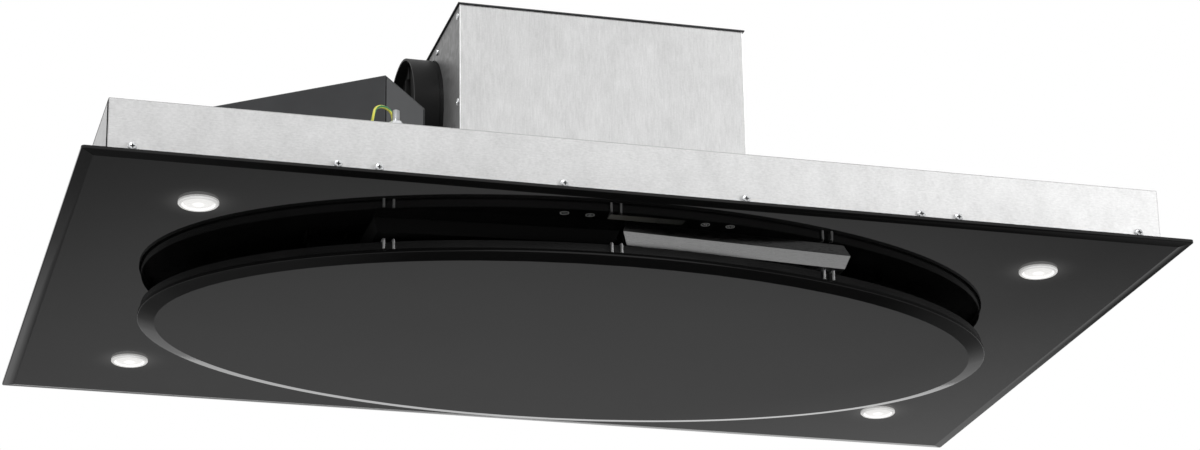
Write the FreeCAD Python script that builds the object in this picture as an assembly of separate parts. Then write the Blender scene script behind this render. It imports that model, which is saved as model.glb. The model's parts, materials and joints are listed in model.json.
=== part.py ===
import FreeCAD, Part
import math
import os
from FreeCAD import Vector

# Ceiling-recessed hood with perimeter suction. A bevelled glass panel hangs under a shallow galvanised
# body, an oval glass plate hangs under the panel, and air goes in round that plate. A motor box with a
# side duct collar stands on top. Millimetres. +Z is up, +Y points away from the touch keys, and the
# origin is the centre of the body's top face.

# Glass panel
panel_length = 900.0
panel_depth = 575.0
panel_thickness = 4.0
panel_bevel_width = 10.0
panel_bevel_depth = 1.5
panel_corner = 3.0
panel_overhang_x = 21.0
panel_overhang_near = 18.0
panel_overhang_far = 33.0

# Galvanised body
body_height = 48.0
sheet = 1.0
fold_radius = 1.5
fan_opening = 200.0
fan_opening_corner = 8.0
ceiling_hole_inset_x = 49.0
ceiling_hole_inset_y = 47.0
ceiling_hole_radius = 4.5
end_wall_flange = 12.0
end_wall_relief = 4.0

# Frame between glass and body
frame_foot = 14.0
frame_upright = 20.0

# Screws through the body walls, placed from the wall's ends
wall_screw_insets = (19.0, 176.0, 208.0, 355.0)
end_screw_inset = 82.0
wall_screw_height = 9.0
screw_head_radius = 3.4
screw_head_height = 2.0
screw_head_crown = 0.62
screw_shank_radius = 1.6
screw_point = 3.0
punch_reach = 5.0

# Oval plate under the panel
plate_semi_x = 367.5
plate_semi_y = 212.0
plate_drop = 27.0
plate_thickness = 6.0
plate_bevel_width = 14.0
plate_bevel_depth = 2.9
tray_inset = 2.0
tray_depth = 7.0

# Wire clips on the tray's near wall
clip_places = (-196.0, -18.0, 167.0)
clip_wire_radius = 1.1
clip_leg_spacing = 8.0
clip_hook = 5.0
clip_bend = 1.6

# Plate hinge
hinge_x = 55.0
hinge_y = 203.0
hinge_below_panel = 7.0
hinge_pin_radius = 2.0
hinge_running_gap = 0.05
hinge_barrel_radius = 4.5
hinge_barrel_length = 12.0
hinge_side_gap = 0.5
hinge_ear_thickness = 2.5
hinge_ear_radius = 4.0
hinge_ear_back = 2.4
hinge_base_thickness = 2.0
hinge_base_front = 11.0
hinge_arm_thickness = 3.0
hinge_arm_overlap = 14.0

# Magnetic catches
catch_x = 230.0
catch_y = -95.0
magnet_length = 30.0
magnet_width = 14.0
magnet_height = 12.0
strike_margin = 2.0
strike_thickness = 1.5
catch_gap = 0.3

# Intake cut-out, its frame and the two filter cassettes, made about X = 0 and shifted together
intake_shift = -12.5
cutout_x = 180.0
cutout_near_inset = 92.0
cutout_far_inset = 129.0
cutout_corner = 8.0
intake_sheet = 1.2
intake_clearance = 0.5
intake_flange = 12.0
intake_lip = 8.0
intake_rear_lip = 28.0
mullion_width = 24.0
mullion_rib = 6.0
pan_side_lap = 18.0
pan_near_lap = 18.0
pan_near_slant = 14.0
pan_far_back = 20.0
pan_gap = 3.0
pan_depth = 10.3
pan_draft_x = 4.0
pan_draft_y = 4.5
pan_ledge = 10.0
pan_tab_width = 14.0
pan_tab_thickness = 2.4
pan_tab_hook = 5.0
pan_tab_inset = 40.0
mesh_thickness = 5.0
mesh_clearance = 0.4
mesh_latch_gap = 1.5
mesh_rim = 7.0
mesh_bar = 2.2
mesh_columns = 5
mesh_rows = 10

# Filter latch
latch_travel = 6.0
latch_gap = 0.3
latch_base_width = 40.0
latch_base_length = 16.0
latch_base_thickness = 2.0
latch_knob_width = 18.0
latch_knob_length = 8.0
latch_knob_drop = 2.6
latch_post_width = 12.0
latch_post_length = 4.5
latch_reach = 4.5
latch_tongue = 2.0
latch_rail = 2.7
latch_rail_lip = 1.0
latch_rail_cover = 3.0

# Lamps, placed from the panel's edges
lamp_inset_x = 101.0
lamp_inset_near = 86.0
lamp_inset_far = 101.0
lamp_hole_radius = 14.0
lamp_gap = 0.3
lamp_bezel_radius = 16.0
lamp_bezel_height = 2.7
lamp_bezel_step = 1.0
lamp_lens_radius = 12.9
lamp_lens_thickness = 2.2
lamp_can_height = 28.0
lamp_can_wall = 1.2
lamp_nut_radius = 20.0
lamp_nut_height = 4.0

# Touch board behind the glass
touch_length = 170.0
touch_width = 20.0
touch_thickness = 1.6
touch_inset = 46.0

# Motor box
box_length = 248.0
box_depth = 239.0
box_height = 175.0
box_foot = 15.0
box_fold = 12.0
lid_sheet = 1.0
lid_overhang = 1.5
rivet_head_radius = 3.2
rivet_head_height = 1.2
rivet_radius = 1.6
rivet_inset = 6.5
rivet_low = 15.0
rivet_high = 10.0

# Duct collar and damper
collar_radius = 60.0
collar_wall = 2.0
collar_length = 25.0
collar_below_top = 67.0
collar_hole_gap = 0.3
collar_flange = 2.0
collar_flange_half = 64.0
collar_neck = 3.0
collar_neck_step = 0.8
collar_screw_y = 36.5
collar_screw_z = 57.5
collar_screw_head = 2.6
collar_screw_radius = 1.3
damper_pin_radius = 2.0
damper_pin_recess = 0.5
damper_pin_from_wall = 16.0
damper_running_gap = 0.05
flap_clearance = 1.5
flap_thickness = 1.5
flap_root = 4.5
flap_barrel_radius = 4.0
flap_barrel_length = 20.0
flap_barrel_step = 25.0

# Fan scroll, wheel and motor
scroll_sheet = 1.0
scroll_width = 110.0
scroll_centre_x = 22.0
scroll_radius = 64.0
scroll_growth = 11.0
pad_radius = 7.0
pad_height = 3.0
pad_places_x = (-95.0, -10.0)
pad_place_y = 40.0
inlet_radius = 45.0
inlet_throat_wall = 1.5
inlet_flange = 12.0
inlet_flange_thickness = 1.5
inlet_reach = 1.5
inlet_hole_gap = 0.5
wheel_radius = 54.0
wheel_blade_depth = 10.0
wheel_blade_curve = 9.0
wheel_blade_thickness = 1.2
wheel_blades = 36
wheel_side_gap = 3.0
wheel_ring_width = 3.0
wheel_ring_depth = 3.0
wheel_disc_thickness = 2.0
wheel_hub_radius = 10.0
wheel_hub_length = 14.0
motor_radius = 36.0
motor_bell_radius = 28.0
motor_body_length = 50.0
motor_bell_length = 7.5
motor_nose_length = 4.0
motor_edge = 3.0
motor_wheel_gap = 5.0
shaft_radius = 4.0
shaft_running_gap = 0.05
shaft_overhang = 0.5
bearing_radius = 8.0
bearing_length = 8.0
bracket_thickness = 3.0
bracket_hub_radius = 26.0
bracket_arm_width = 12.0
bracket_arm_radius = 56.0
bracket_arms = 3
capacitor_radius = 14.0
capacitor_length = 46.0
capacitor_edge = 1.5
capacitor_height = 40.0
capacitor_near = 66.0
capacitor_clip_wall = 1.5
capacitor_clip_width = 12.0

# Electronics box, turned in plan on the body's top; its near corner is placed from the body's near wall
control_x = -208.0
control_inset = 42.0
control_turn = 142.8
control_length = 180.0
control_width = 75.0
control_height = 58.0
control_sheet = 1.0
control_fold = 14.0
control_post_radius = 4.0
control_post_height = 8.0
board_inset = 10.0
board_thickness = 1.6
# Transformer, two relays and a terminal strip: place along and across the box, then length and width
board_blocks = (
    (24.0, 20.0, 34.0, 26.0),
    (70.0, 24.0, 20.0, 16.0),
    (98.0, 24.0, 20.0, 16.0),
    (126.0, 14.0, 12.0, 44.0),
)
board_block_height = 18.0
gland_radius = 9.0
gland_bore = 4.0
gland_length = 14.0
gland_nut_radius = 11.0
gland_nut_length = 4.0
box_screw_inset = 8.0

# Earth stud and lead
stud_x = -203.0
stud_inset = 24.0
stud_radius = 3.0
stud_height = 20.0
stud_below = 6.0
nut_flats = 10.0
nut_height = 4.5
lug_thickness = 1.0
lug_radius = 6.5
lug_reach = 6.5
lug_barrel_radius = 2.2
lug_barrel_height = 6.0
lead_radius = 1.25
lead_bend_share = 0.45
lead_rise = 11.0
# Points of the lead's loop, measured from the lug's barrel and the body's top, chosen by hand
lead_loop = (
    (-4.0, -1.0, 24.0),
    (-11.5, -2.2, 26.0),
    (-19.0, -2.7, 22.0),
    (-23.0, -2.7, 14.0),
    (-22.8, 2.8, 8.6),
)
lead_straight = 8.0
lead_exit_along = 12.0
lead_exit_height = 8.0
grommet_radius = 4.5
grommet_length = 3.0

# Levels and places that follow from the sizes above
body_length = panel_length - 2 * panel_overhang_x
body_depth = panel_depth - panel_overhang_near - panel_overhang_far
glass_top = -body_height
panel_under = glass_top - panel_thickness
plate_flat = panel_under - plate_drop
plate_back = plate_flat + plate_thickness
tray_floor = plate_back + sheet
tray_rim = plate_back + tray_depth
hinge_z = panel_under - hinge_below_panel
pan_bottom = panel_under - pan_depth
pan_floor = pan_bottom + sheet
half_body_x = body_length / 2
half_body_y = body_depth / 2
panel_near = -half_body_y - panel_overhang_near
panel_far = half_body_y + panel_overhang_far
half_box_x = box_length / 2
half_box_y = box_depth / 2
wrap_top = box_height - lid_sheet
cutout_near = panel_near + cutout_near_inset
cutout_far = panel_far - cutout_far_inset
pan_outer_x = cutout_x + pan_side_lap
pan_near = cutout_near - pan_near_lap
pan_far = cutout_far - pan_far_back
touch_y = panel_near + touch_inset
collar_height = box_height - collar_below_top
scroll_half = scroll_width / 2
scroll_top = wrap_top - sheet - pad_height - scroll_sheet
scroll_centre_z = scroll_top - scroll_radius - 3 * scroll_growth
scroll_outlet_low = collar_height - collar_radius + collar_wall
scroll_outlet_x = -half_box_x + sheet + collar_flange
wheel_half = scroll_half - wheel_side_gap
wheel_x = scroll_centre_x - scroll_growth / 2
wheel_z = scroll_centre_z + scroll_growth / 2
bracket_face = -(scroll_half + scroll_sheet + inlet_flange_thickness)
motor_nose = bracket_face + motor_bell_length + motor_body_length + motor_nose_length
damper_x = -half_box_x - damper_pin_from_wall
control_y = control_inset - half_body_y
stud_y = stud_inset - half_body_y
barrel_y = stud_y + lug_reach + lug_barrel_radius
up = Vector(0, 0, 1)


def four_corners(x, y):
    return [(sx * x, sy * y) for sx in (-1, 1) for sy in (-1, 1)]


lamp_places = [(s * (panel_length / 2 - lamp_inset_x), y) for s in (-1, 1)
               for y in (panel_near + lamp_inset_near, panel_far - lamp_inset_far)]
ceiling_holes = four_corners(half_body_x - ceiling_hole_inset_x, half_body_y - ceiling_hole_inset_y)


def block(x0, x1, y0, y1, z0, z1):
    return Part.makeBox(x1 - x0, y1 - y0, z1 - z0, Vector(x0, y0, z0))


def rod(radius, start, end):
    way = Vector(*end) - Vector(*start)
    return Part.makeCylinder(radius, way.Length, Vector(*start), way)


def pipe(outer, inner, start, end):
    return rod(outer, start, end).cut(rod(inner, start, end))


def rectangle(x0, x1, y0, y1, z):
    corners = [Vector(x0, y0, z), Vector(x1, y0, z), Vector(x1, y1, z), Vector(x0, y1, z)]
    return Part.makePolygon(corners + corners[:1])


def rounded_block(x0, x1, y0, y1, z0, z1, radius):
    solid = block(x0, x1, y0, y1, z0, z1)
    upright = [e for e in solid.Edges if abs(e.tangentAt(e.FirstParameter).z) > 0.9]
    return solid.makeFillet(radius, upright)


def oval(semi_x, semi_y, z):
    return Part.Wire([Part.Ellipse(Vector(0, 0, z), semi_x, semi_y).toShape()])


def oval_slab(semi_x, semi_y, z0, z1):
    return Part.Face(oval(semi_x, semi_y, z0)).extrude(Vector(0, 0, z1 - z0))


def folded(shape, **line):
    # Rounds the outside of each fold that lies on a line, given by two of its coordinates.
    def on_line(point):
        return all(abs(getattr(point, axis) - place) < 1e-6 for axis, place in line.items())
    folds = [e for e in shape.Edges if all(on_line(v.Point) for v in e.Vertexes)]
    return shape.makeFillet(fold_radius, folds)


def rounded_route(points, arc_reach):
    # Straight runs joined by tangent arcs, and the arcs' radii. arc_reach says how far each arc starts from
    # its corner, from the shorter run and half the angle between the two runs.
    route = [Vector(*p) for p in points]
    edges = []
    radii = []
    last = route[0]
    for before, corner, after in zip(route, route[1:], route[2:]):
        back = (before - corner).normalize()
        ahead = (after - corner).normalize()
        half = back.getAngle(ahead) / 2
        reach = arc_reach(min((before - corner).Length, (after - corner).Length), half)
        radius = reach * math.tan(half)
        start = corner + back * reach
        end = corner + ahead * reach
        middle = corner + (back + ahead).normalize() * (radius / math.sin(half) - radius)
        edges.append(Part.LineSegment(last, start).toShape())
        edges.append(Part.Arc(start, middle, end).toShape())
        radii.append(radius)
        last = end
    edges.append(Part.LineSegment(last, route[-1]).toShape())
    return Part.Wire(edges), radii


def round_bar(spine, points, radius):
    start = Vector(*points[0])
    section = Part.Wire([Part.Circle(start, Vector(*points[1]) - start, radius).toShape()])
    return spine.makePipeShell([section], True, False)


def turned(profile):
    # Solid of revolution about Z from its corners, each a radius and a height.
    corners = [Vector(radius, 0, height) for radius, height in profile]
    return Part.Face(Part.makePolygon(corners + corners[:1])).revolve(Vector(0, 0, 0), up, 360)


def hex_nut(x, y, z, flats, height, bore):
    corner = flats / math.sqrt(3)
    corners = [Vector(x + corner * math.cos(k * math.pi / 3), y + corner * math.sin(k * math.pi / 3), z)
               for k in range(7)]
    nut = Part.Face(Part.makePolygon(corners)).extrude(Vector(0, 0, height))
    return nut.cut(rod(bore, (x, y, z), (x, y, z + height)))


def mirrored(shape):
    return shape.mirror(Vector(0, 0, 0), Vector(1, 0, 0))


def headed_pin(place, way, head_radius, head_height, shank_radius, shank_length):
    # A domed head outside the sheet at place, with its shank running along way.
    place = Vector(*place)
    way = Vector(*way)
    crown = head_radius * screw_head_crown
    profile = [(0, head_height), (crown, head_height), (head_radius, 0), (shank_radius, 0),
               (shank_radius, -shank_length), (0, -shank_length)]
    solid = turned(profile)
    solid.Placement = FreeCAD.Placement(place, FreeCAD.Rotation(up, way * -1))
    return solid


def punched(shape, places, way, radius):
    way = Vector(*way)
    for place in places:
        start = Vector(*place) - way * sheet
        shape = shape.cut(Part.makeCylinder(radius, punch_reach, start, way))
    return shape


# Body

def wall_screw_sets():
    z = glass_top + wall_screw_height
    near = [(s * (half_body_x - inset), -half_body_y, z) for inset in wall_screw_insets for s in (-1, 1)]
    far = [(x, -y, height) for x, y, height in near]
    left = [(-half_body_x, k * (half_body_y - end_screw_inset), z) for k in (-1, 0, 1)]
    right = [(half_body_x, y, height) for x, y, height in left]
    return [(near, (0, 1, 0)), (far, (0, -1, 0)), (left, (1, 0, 0)), (right, (-1, 0, 0))]


def body_shell():
    x = half_body_x
    y = half_body_y - sheet
    opening = fan_opening / 2
    shell = block(-x, x, -half_body_y, half_body_y, glass_top, 0)
    shell = folded(folded(shell, y=-half_body_y, z=0), y=half_body_y, z=0)
    shell = shell.cut(block(-x, x, -y, y, glass_top, -sheet))
    shell = shell.cut(rounded_block(-opening, opening, -opening, opening, -sheet, 0, fan_opening_corner))
    for x, y in ceiling_holes:
        shell = shell.cut(rod(ceiling_hole_radius, (x, y, -sheet), (x, y, 0)))
    shell = shell.cut(rod(stud_radius, (stud_x, stud_y, -sheet), (stud_x, stud_y, 0)))
    for places, way in wall_screw_sets()[:2]:
        shell = punched(shell, places, way, screw_shank_radius)
    return shell


def end_wall():
    # Stops short of the shell's walls, which leaves an open seam at each corner.
    x = half_body_x
    y = half_body_y - sheet - end_wall_relief
    wall = block(x - sheet, x, -y, y, glass_top, -sheet)
    flange = block(x - end_wall_flange, x, -y, y, -2 * sheet, -sheet)
    wall = folded(wall.fuse(flange).removeSplitter(), x=x, z=-sheet)
    places, way = wall_screw_sets()[3]
    return punched(wall, places, way, screw_shank_radius)


def glass_frame():
    x = half_body_x - sheet
    y = half_body_y - sheet
    top = glass_top + frame_upright
    floor = glass_top + sheet
    ring = block(-x, x, -y, y, glass_top, top)
    ring = ring.cut(block(-x + sheet, x - sheet, -y + sheet, y - sheet, floor, top))
    ring = ring.cut(block(-x + frame_foot, x - frame_foot, -y + frame_foot, y - frame_foot, glass_top, floor))
    for places, way in wall_screw_sets():
        ring = punched(ring, places, way, screw_shank_radius)
    return ring


def wall_screws():
    length = 2 * sheet + screw_point
    return [headed_pin(place, way, screw_head_radius, screw_head_height, screw_shank_radius, length)
            for places, way in wall_screw_sets() for place in places]


# Glass panel and lamps

def glass_panel():
    x = panel_length / 2
    edge = panel_under + panel_bevel_depth
    w = panel_bevel_width
    slab = block(-x, x, panel_near, panel_far, edge, glass_top)
    rim = rectangle(-x, x, panel_near, panel_far, edge)
    face = rectangle(-x + w, x - w, panel_near + w, panel_far - w, panel_under)
    slab = slab.fuse(Part.makeLoft([rim, face], True, True)).removeSplitter()
    slab = slab.common(rounded_block(-x, x, panel_near, panel_far, panel_under, glass_top, panel_corner))
    slab = slab.cut(shifted(rounded_block(-cutout_x, cutout_x, cutout_near, cutout_far,
                                          panel_under, glass_top, cutout_corner)))
    for lx, ly in lamp_places:
        slab = slab.cut(rod(lamp_hole_radius, (lx, ly, panel_under), (lx, ly, glass_top)))
    return slab


def lamp_bezel(x, y):
    low = panel_under - lamp_bezel_height
    bore = lamp_lens_radius
    rim = lamp_bezel_radius
    ring = turned([(bore, panel_under), (rim, panel_under), (rim, low + lamp_bezel_step),
                   (rim - lamp_bezel_step, low), (bore, low)])
    ring.translate(Vector(x, y, 0))
    return ring


def lamp_lens(x, y):
    return rod(lamp_lens_radius, (x, y, panel_under - lamp_lens_thickness), (x, y, panel_under))


def lamp_can(x, y):
    outer = lamp_hole_radius - lamp_gap
    top = panel_under + lamp_can_height
    can = rod(outer, (x, y, panel_under), (x, y, top))
    return can.cut(rod(outer - lamp_can_wall, (x, y, panel_under), (x, y, top - lamp_can_wall)))


def lamp_nut(x, y):
    bore = lamp_hole_radius - lamp_gap
    return pipe(lamp_nut_radius, bore, (x, y, glass_top), (x, y, glass_top + lamp_nut_height))


def touch_board():
    return block(-touch_length / 2, touch_length / 2, touch_y - touch_width / 2, touch_y + touch_width / 2,
                 glass_top, glass_top + touch_thickness)


# Intake frame and filters

def shifted(shape):
    shape.translate(Vector(intake_shift, 0, 0))
    return shape


def intake_frame():
    x = cutout_x - intake_clearance
    near = cutout_near + intake_clearance
    far = cutout_far - intake_clearance
    top = glass_top + intake_sheet
    low = panel_under + intake_sheet
    wide = x + intake_flange
    wall = intake_sheet
    opening = (near + intake_lip, far - intake_rear_lip)
    collar = rounded_block(-x, x, near, far, panel_under, top, cutout_corner)
    flange = block(-wide, wide, near - intake_flange, far + intake_flange, glass_top, top)
    frame = collar.fuse(flange).removeSplitter()
    frame = frame.cut(block(-x + wall, x - wall, near + wall, far - wall, low, top))
    frame = frame.cut(block(-x + intake_lip, x - intake_lip, *opening, panel_under, low))
    mullion = block(-mullion_width / 2, mullion_width / 2, *opening, panel_under, low)
    rib = block(-wall / 2, wall / 2, *opening, low, low + mullion_rib)
    return frame.fuse([mullion, rib]).removeSplitter()


def pan_centre():
    return (pan_gap / 2 + pan_outer_x) / 2


def pan_outline(grow, draft, z):
    # The pan's plan at one level, whose near edge runs back towards the outer end.
    inner = pan_gap / 2
    x0 = inner - grow + draft * pan_draft_x
    x1 = pan_outer_x + grow - draft * pan_draft_x
    far = pan_far + grow - draft * pan_draft_y

    def near(x):
        slant = pan_near_slant * (x - inner) / (pan_outer_x - inner)
        return pan_near - grow + draft * pan_draft_y + slant
    corners = [Vector(x0, near(x0), z), Vector(x1, near(x1), z), Vector(x1, far, z), Vector(x0, far, z)]
    return Part.makePolygon(corners + corners[:1])


def pan_shell(grow, bottom):
    # Tapered block: the pan's outside for grow 0, its hollow for grow minus the sheet.
    return Part.makeLoft([pan_outline(grow, 0, panel_under), pan_outline(grow, 1, bottom)], True, True)


def mesh_box(inset):
    post, base, knob = latch_places()
    near = base + latch_base_length + latch_travel + mesh_latch_gap
    far = cutout_far - intake_clearance - intake_rear_lip - pan_tab_thickness - 2 * mesh_clearance
    side = pan_draft_x + sheet + mesh_clearance + inset
    return pan_gap / 2 + side, pan_outer_x - side, near + inset, far - inset


def latch_places():
    # Near face of the post, near end of the base and of the knob, all along Y.
    post = cutout_near + intake_clearance + intake_lip + 2 * latch_gap
    base = post - latch_reach
    knob = base + (latch_base_length - latch_knob_length) / 2
    return post, base, knob


def filter_pan():
    pan = pan_shell(0, pan_bottom).cut(pan_shell(-sheet, pan_floor))
    x0, x1, y0, y1 = mesh_box(pan_ledge)
    pan = pan.cut(block(x0, x1, y0, y1, pan_bottom, pan_floor))
    centre = pan_centre()
    post, base, knob = latch_places()
    slot_x = latch_knob_width / 2 + latch_gap
    slot_end = knob + latch_knob_length + latch_travel + latch_gap
    pan = pan.cut(block(centre - slot_x, centre + slot_x, knob - latch_gap, slot_end, pan_bottom, pan_floor))
    inner = latch_base_width / 2 + latch_gap
    cover = pan_floor + 2 * latch_gap + latch_base_thickness
    rails = []
    for side in (-1, 1):
        xs = sorted((centre + side * inner, centre + side * (inner + latch_rail)))
        lip = sorted((centre + side * (inner - latch_rail_cover), centre + side * (inner + latch_rail)))
        rails.append(block(*xs, base, base + latch_base_length, pan_floor, cover))
        rails.append(block(*lip, base, base + latch_base_length, cover, cover + latch_rail_lip))
    lip_edge = cutout_far - intake_clearance - intake_rear_lip
    lip_top = panel_under + intake_sheet
    tab_near = lip_edge - pan_tab_thickness
    tab_top = lip_top + pan_tab_thickness
    for x in (pan_gap / 2 + pan_tab_inset, pan_outer_x - pan_tab_inset):
        wide = (x - pan_tab_width / 2, x + pan_tab_width / 2)
        rails.append(block(*wide, tab_near, lip_edge, pan_floor, tab_top))
        rails.append(block(*wide, tab_near, lip_edge + pan_tab_hook, lip_top, tab_top))
    return pan.fuse(rails).removeSplitter()


def filter_mesh():
    x0, x1, y0, y1 = mesh_box(0)
    top = pan_floor + mesh_thickness
    net = block(x0, x1, y0, y1, pan_floor, top)
    step_x = (x1 - x0 - 2 * mesh_rim + mesh_bar) / mesh_columns
    step_y = (y1 - y0 - 2 * mesh_rim + mesh_bar) / mesh_rows
    gaps = []
    for i in range(mesh_columns):
        for j in range(mesh_rows):
            gx = x0 + mesh_rim + i * step_x
            gy = y0 + mesh_rim + j * step_y
            gaps.append(block(gx, gx + step_x - mesh_bar, gy, gy + step_y - mesh_bar, pan_floor, top))
    return net.cut(gaps)


def filter_latch():
    centre = pan_centre()
    post, base, knob = latch_places()
    low = pan_floor + latch_gap
    lip_top = panel_under + intake_sheet + latch_gap
    top = lip_top + latch_tongue

    def across(width):
        return centre - width / 2, centre + width / 2
    slide = block(*across(latch_base_width), base, base + latch_base_length, low, low + latch_base_thickness)
    grip = block(*across(latch_knob_width), knob, knob + latch_knob_length, pan_bottom - latch_knob_drop, low)
    stem = block(*across(latch_post_width), post, post + latch_post_length, low, top)
    tongue = block(*across(latch_post_width), post - latch_reach, post, lip_top, top)
    return slide.fuse([grip, stem, tongue]).removeSplitter()


# Oval plate and its hinge

def plate_glass():
    edge = plate_flat + plate_bevel_depth
    rim = oval_slab(plate_semi_x, plate_semi_y, edge, plate_back)
    face = oval(plate_semi_x - plate_bevel_width, plate_semi_y - plate_bevel_width, plate_flat)
    bevel = Part.makeLoft([face, oval(plate_semi_x, plate_semi_y, edge)], True, True)
    return rim.fuse(bevel)


def plate_tray():
    x = plate_semi_x - tray_inset
    y = plate_semi_y - tray_inset
    tray = oval_slab(x, y, plate_back, tray_rim)
    return tray.cut(oval_slab(x - sheet, y - sheet, tray_floor, tray_rim))


def tray_wall_y(x):
    semi_x = plate_semi_x - tray_inset
    semi_y = plate_semi_y - tray_inset
    return -semi_y * math.sqrt(1 - (x / semi_x) ** 2)


def tray_clip(place):
    # Two upright legs before the tray's wall, hooked over its rim and joined behind it.
    legs = (place - clip_leg_spacing / 2, place + clip_leg_spacing / 2)
    edges = (legs[0] - clip_wire_radius, legs[1] + clip_wire_radius)
    wall = min(tray_wall_y(x) for x in edges) - clip_wire_radius
    hook = max(tray_wall_y(x) for x in edges) + sheet + clip_hook
    top = tray_rim + clip_wire_radius
    route = [(legs[0], wall, plate_back), (legs[0], wall, top), (legs[0], hook, top),
             (legs[1], hook, top), (legs[1], wall, top), (legs[1], wall, plate_back)]
    spine, radii = rounded_route(route, lambda shorter, half: clip_bend / math.tan(half))
    return round_bar(spine, route, clip_wire_radius)


def hinge_arm(side):
    x0 = side * hinge_x - hinge_barrel_length / 2
    x1 = x0 + hinge_barrel_length
    front = cutout_far - intake_clearance - hinge_arm_overlap
    ends = ((x0, hinge_y, hinge_z), (x1, hinge_y, hinge_z))
    bar = block(x0, x1, front, hinge_y, panel_under - hinge_arm_thickness, panel_under)
    barrel = rod(hinge_barrel_radius, *ends)
    bore = rod(hinge_pin_radius + hinge_running_gap, *ends)
    neck = block(x0, x1, hinge_y - hinge_barrel_radius, hinge_y, hinge_z, panel_under)
    return bar.fuse([barrel, neck]).cut(bore).removeSplitter()


def hinge_ears(side):
    x = side * hinge_x
    inner = hinge_barrel_length / 2 + hinge_side_gap
    outer = inner + hinge_ear_thickness
    front = hinge_y - hinge_base_front
    back = hinge_y + hinge_ear_back
    base = block(x - outer, x + outer, front, back, tray_floor, tray_floor + hinge_base_thickness)
    pieces = []
    for x0, x1 in ((x - outer, x - inner), (x + inner, x + outer)):
        pieces.append(block(x0, x1, hinge_y - hinge_ear_radius, back, tray_floor, hinge_z))
        pieces.append(rod(hinge_ear_radius, (x0, hinge_y, hinge_z), (x1, hinge_y, hinge_z)))
    hole = rod(hinge_pin_radius, (x - outer, hinge_y, hinge_z), (x + outer, hinge_y, hinge_z))
    return base.fuse(pieces).cut(hole).removeSplitter()


def hinge_pin(side):
    x = side * hinge_x
    reach = hinge_barrel_length / 2 + hinge_side_gap + hinge_ear_thickness
    return rod(hinge_pin_radius, (x - reach, hinge_y, hinge_z), (x + reach, hinge_y, hinge_z))


def catch_magnet(side):
    x = side * catch_x
    hx = magnet_length / 2
    hy = magnet_width / 2
    return block(x - hx, x + hx, catch_y - hy, catch_y + hy, panel_under - magnet_height, panel_under)


def strike_plate(side):
    # A bridge of folded steel that stands on the tray under the magnet.
    x = side * catch_x
    hx = magnet_length / 2 + strike_margin
    hy = magnet_width / 2 + strike_margin
    top = panel_under - magnet_height - catch_gap
    bridge = block(x - hx, x + hx, catch_y - hy, catch_y + hy, tray_floor, top)
    return bridge.cut(block(x - hx + strike_thickness, x + hx - strike_thickness, catch_y - hy, catch_y + hy,
                            tray_floor, top - strike_thickness))


# Motor box

def rivet_sets():
    heights = (rivet_low, box_height / 2, box_height - rivet_high)
    left = [(-half_box_x, s * (half_box_y - rivet_inset), z) for s in (-1, 1) for z in heights]
    right = [(half_box_x, y, z) for x, y, z in left]
    return [(left, (1, 0, 0)), (right, (-1, 0, 0))]


def box_wrap():
    x = half_box_x - sheet
    wrap = block(-x, x, -half_box_y, half_box_y, 0, wrap_top)
    wrap = folded(folded(wrap, y=-half_box_y, z=wrap_top), y=half_box_y, z=wrap_top)
    wrap = wrap.cut(block(-x, x, -half_box_y + sheet, half_box_y - sheet, 0, wrap_top - sheet))
    pieces = []
    for s in (-1, 1):
        wall = sorted((s * half_box_y, s * (half_box_y + box_foot)))
        pieces.append(block(-x, x, *wall, 0, sheet))
        inside = sorted((s * (half_box_y - sheet), s * (half_box_y - sheet - box_fold)))
        for side in (-1, 1):
            pieces.append(block(*sorted((side * x, side * (x - sheet))), *inside, 0, wrap_top - sheet))
    wrap = wrap.fuse(pieces).removeSplitter()
    for places, way in rivet_sets():
        wrap = punched(wrap, places, way, rivet_radius)
    return wrap


def box_side():
    wall = block(half_box_x - sheet, half_box_x, -half_box_y, half_box_y, 0, wrap_top)
    foot = block(half_box_x, half_box_x + box_foot, -half_box_y, half_box_y, 0, sheet)
    places, way = rivet_sets()[1]
    return punched(wall.fuse(foot).removeSplitter(), places, way, rivet_radius)


def box_left_side():
    wall = mirrored(box_side())
    hole = rod(collar_radius + collar_hole_gap, on_collar(0), on_collar(-sheet))
    return punched(wall.cut(hole), collar_screw_places(), (1, 0, 0), collar_screw_radius)


def box_lid():
    x = half_box_x + lid_overhang
    y = half_box_y + lid_overhang
    return block(-x, x, -y, y, wrap_top, box_height)


def box_rivets():
    return [headed_pin(place, way, rivet_head_radius, rivet_head_height, rivet_radius, 2 * sheet)
            for places, way in rivet_sets() for place in places]


# Duct collar and damper

def on_collar(out):
    # A point on the collar's axis, so far outside the motor box's left wall.
    return -half_box_x - out, 0, collar_height


def collar_screw_places():
    return [(-half_box_x, y, collar_height + z) for y, z in four_corners(collar_screw_y, collar_screw_z)]


def duct_collar():
    # A spigot through the wall on a square flange behind it. The duct stops at the step to its neck.
    half = collar_flange_half
    wall = -half_box_x + sheet
    step = on_collar(collar_neck)
    mouth = on_collar(collar_length)
    spigot = rod(collar_radius, step, mouth)
    neck = rod(collar_radius - collar_neck_step, on_collar(-sheet), step)
    flange = block(wall, wall + collar_flange, -half, half, collar_height - half, collar_height + half)
    bore = rod(collar_radius - collar_wall, on_collar(-sheet - collar_flange), mouth)
    collar = spigot.fuse([neck, flange]).cut(bore)
    low, high = damper_pin_ends()
    collar = collar.cut(rod(damper_pin_radius, (damper_x, 0, low), (damper_x, 0, high)))
    return punched(collar.removeSplitter(), collar_screw_places(), (1, 0, 0), collar_screw_radius)


def damper_pin_ends():
    reach = collar_radius - damper_pin_recess
    return collar_height - reach, collar_height + reach


def damper_pin():
    low, high = damper_pin_ends()
    return rod(damper_pin_radius, (damper_x, 0, low), (damper_x, 0, high))


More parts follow.
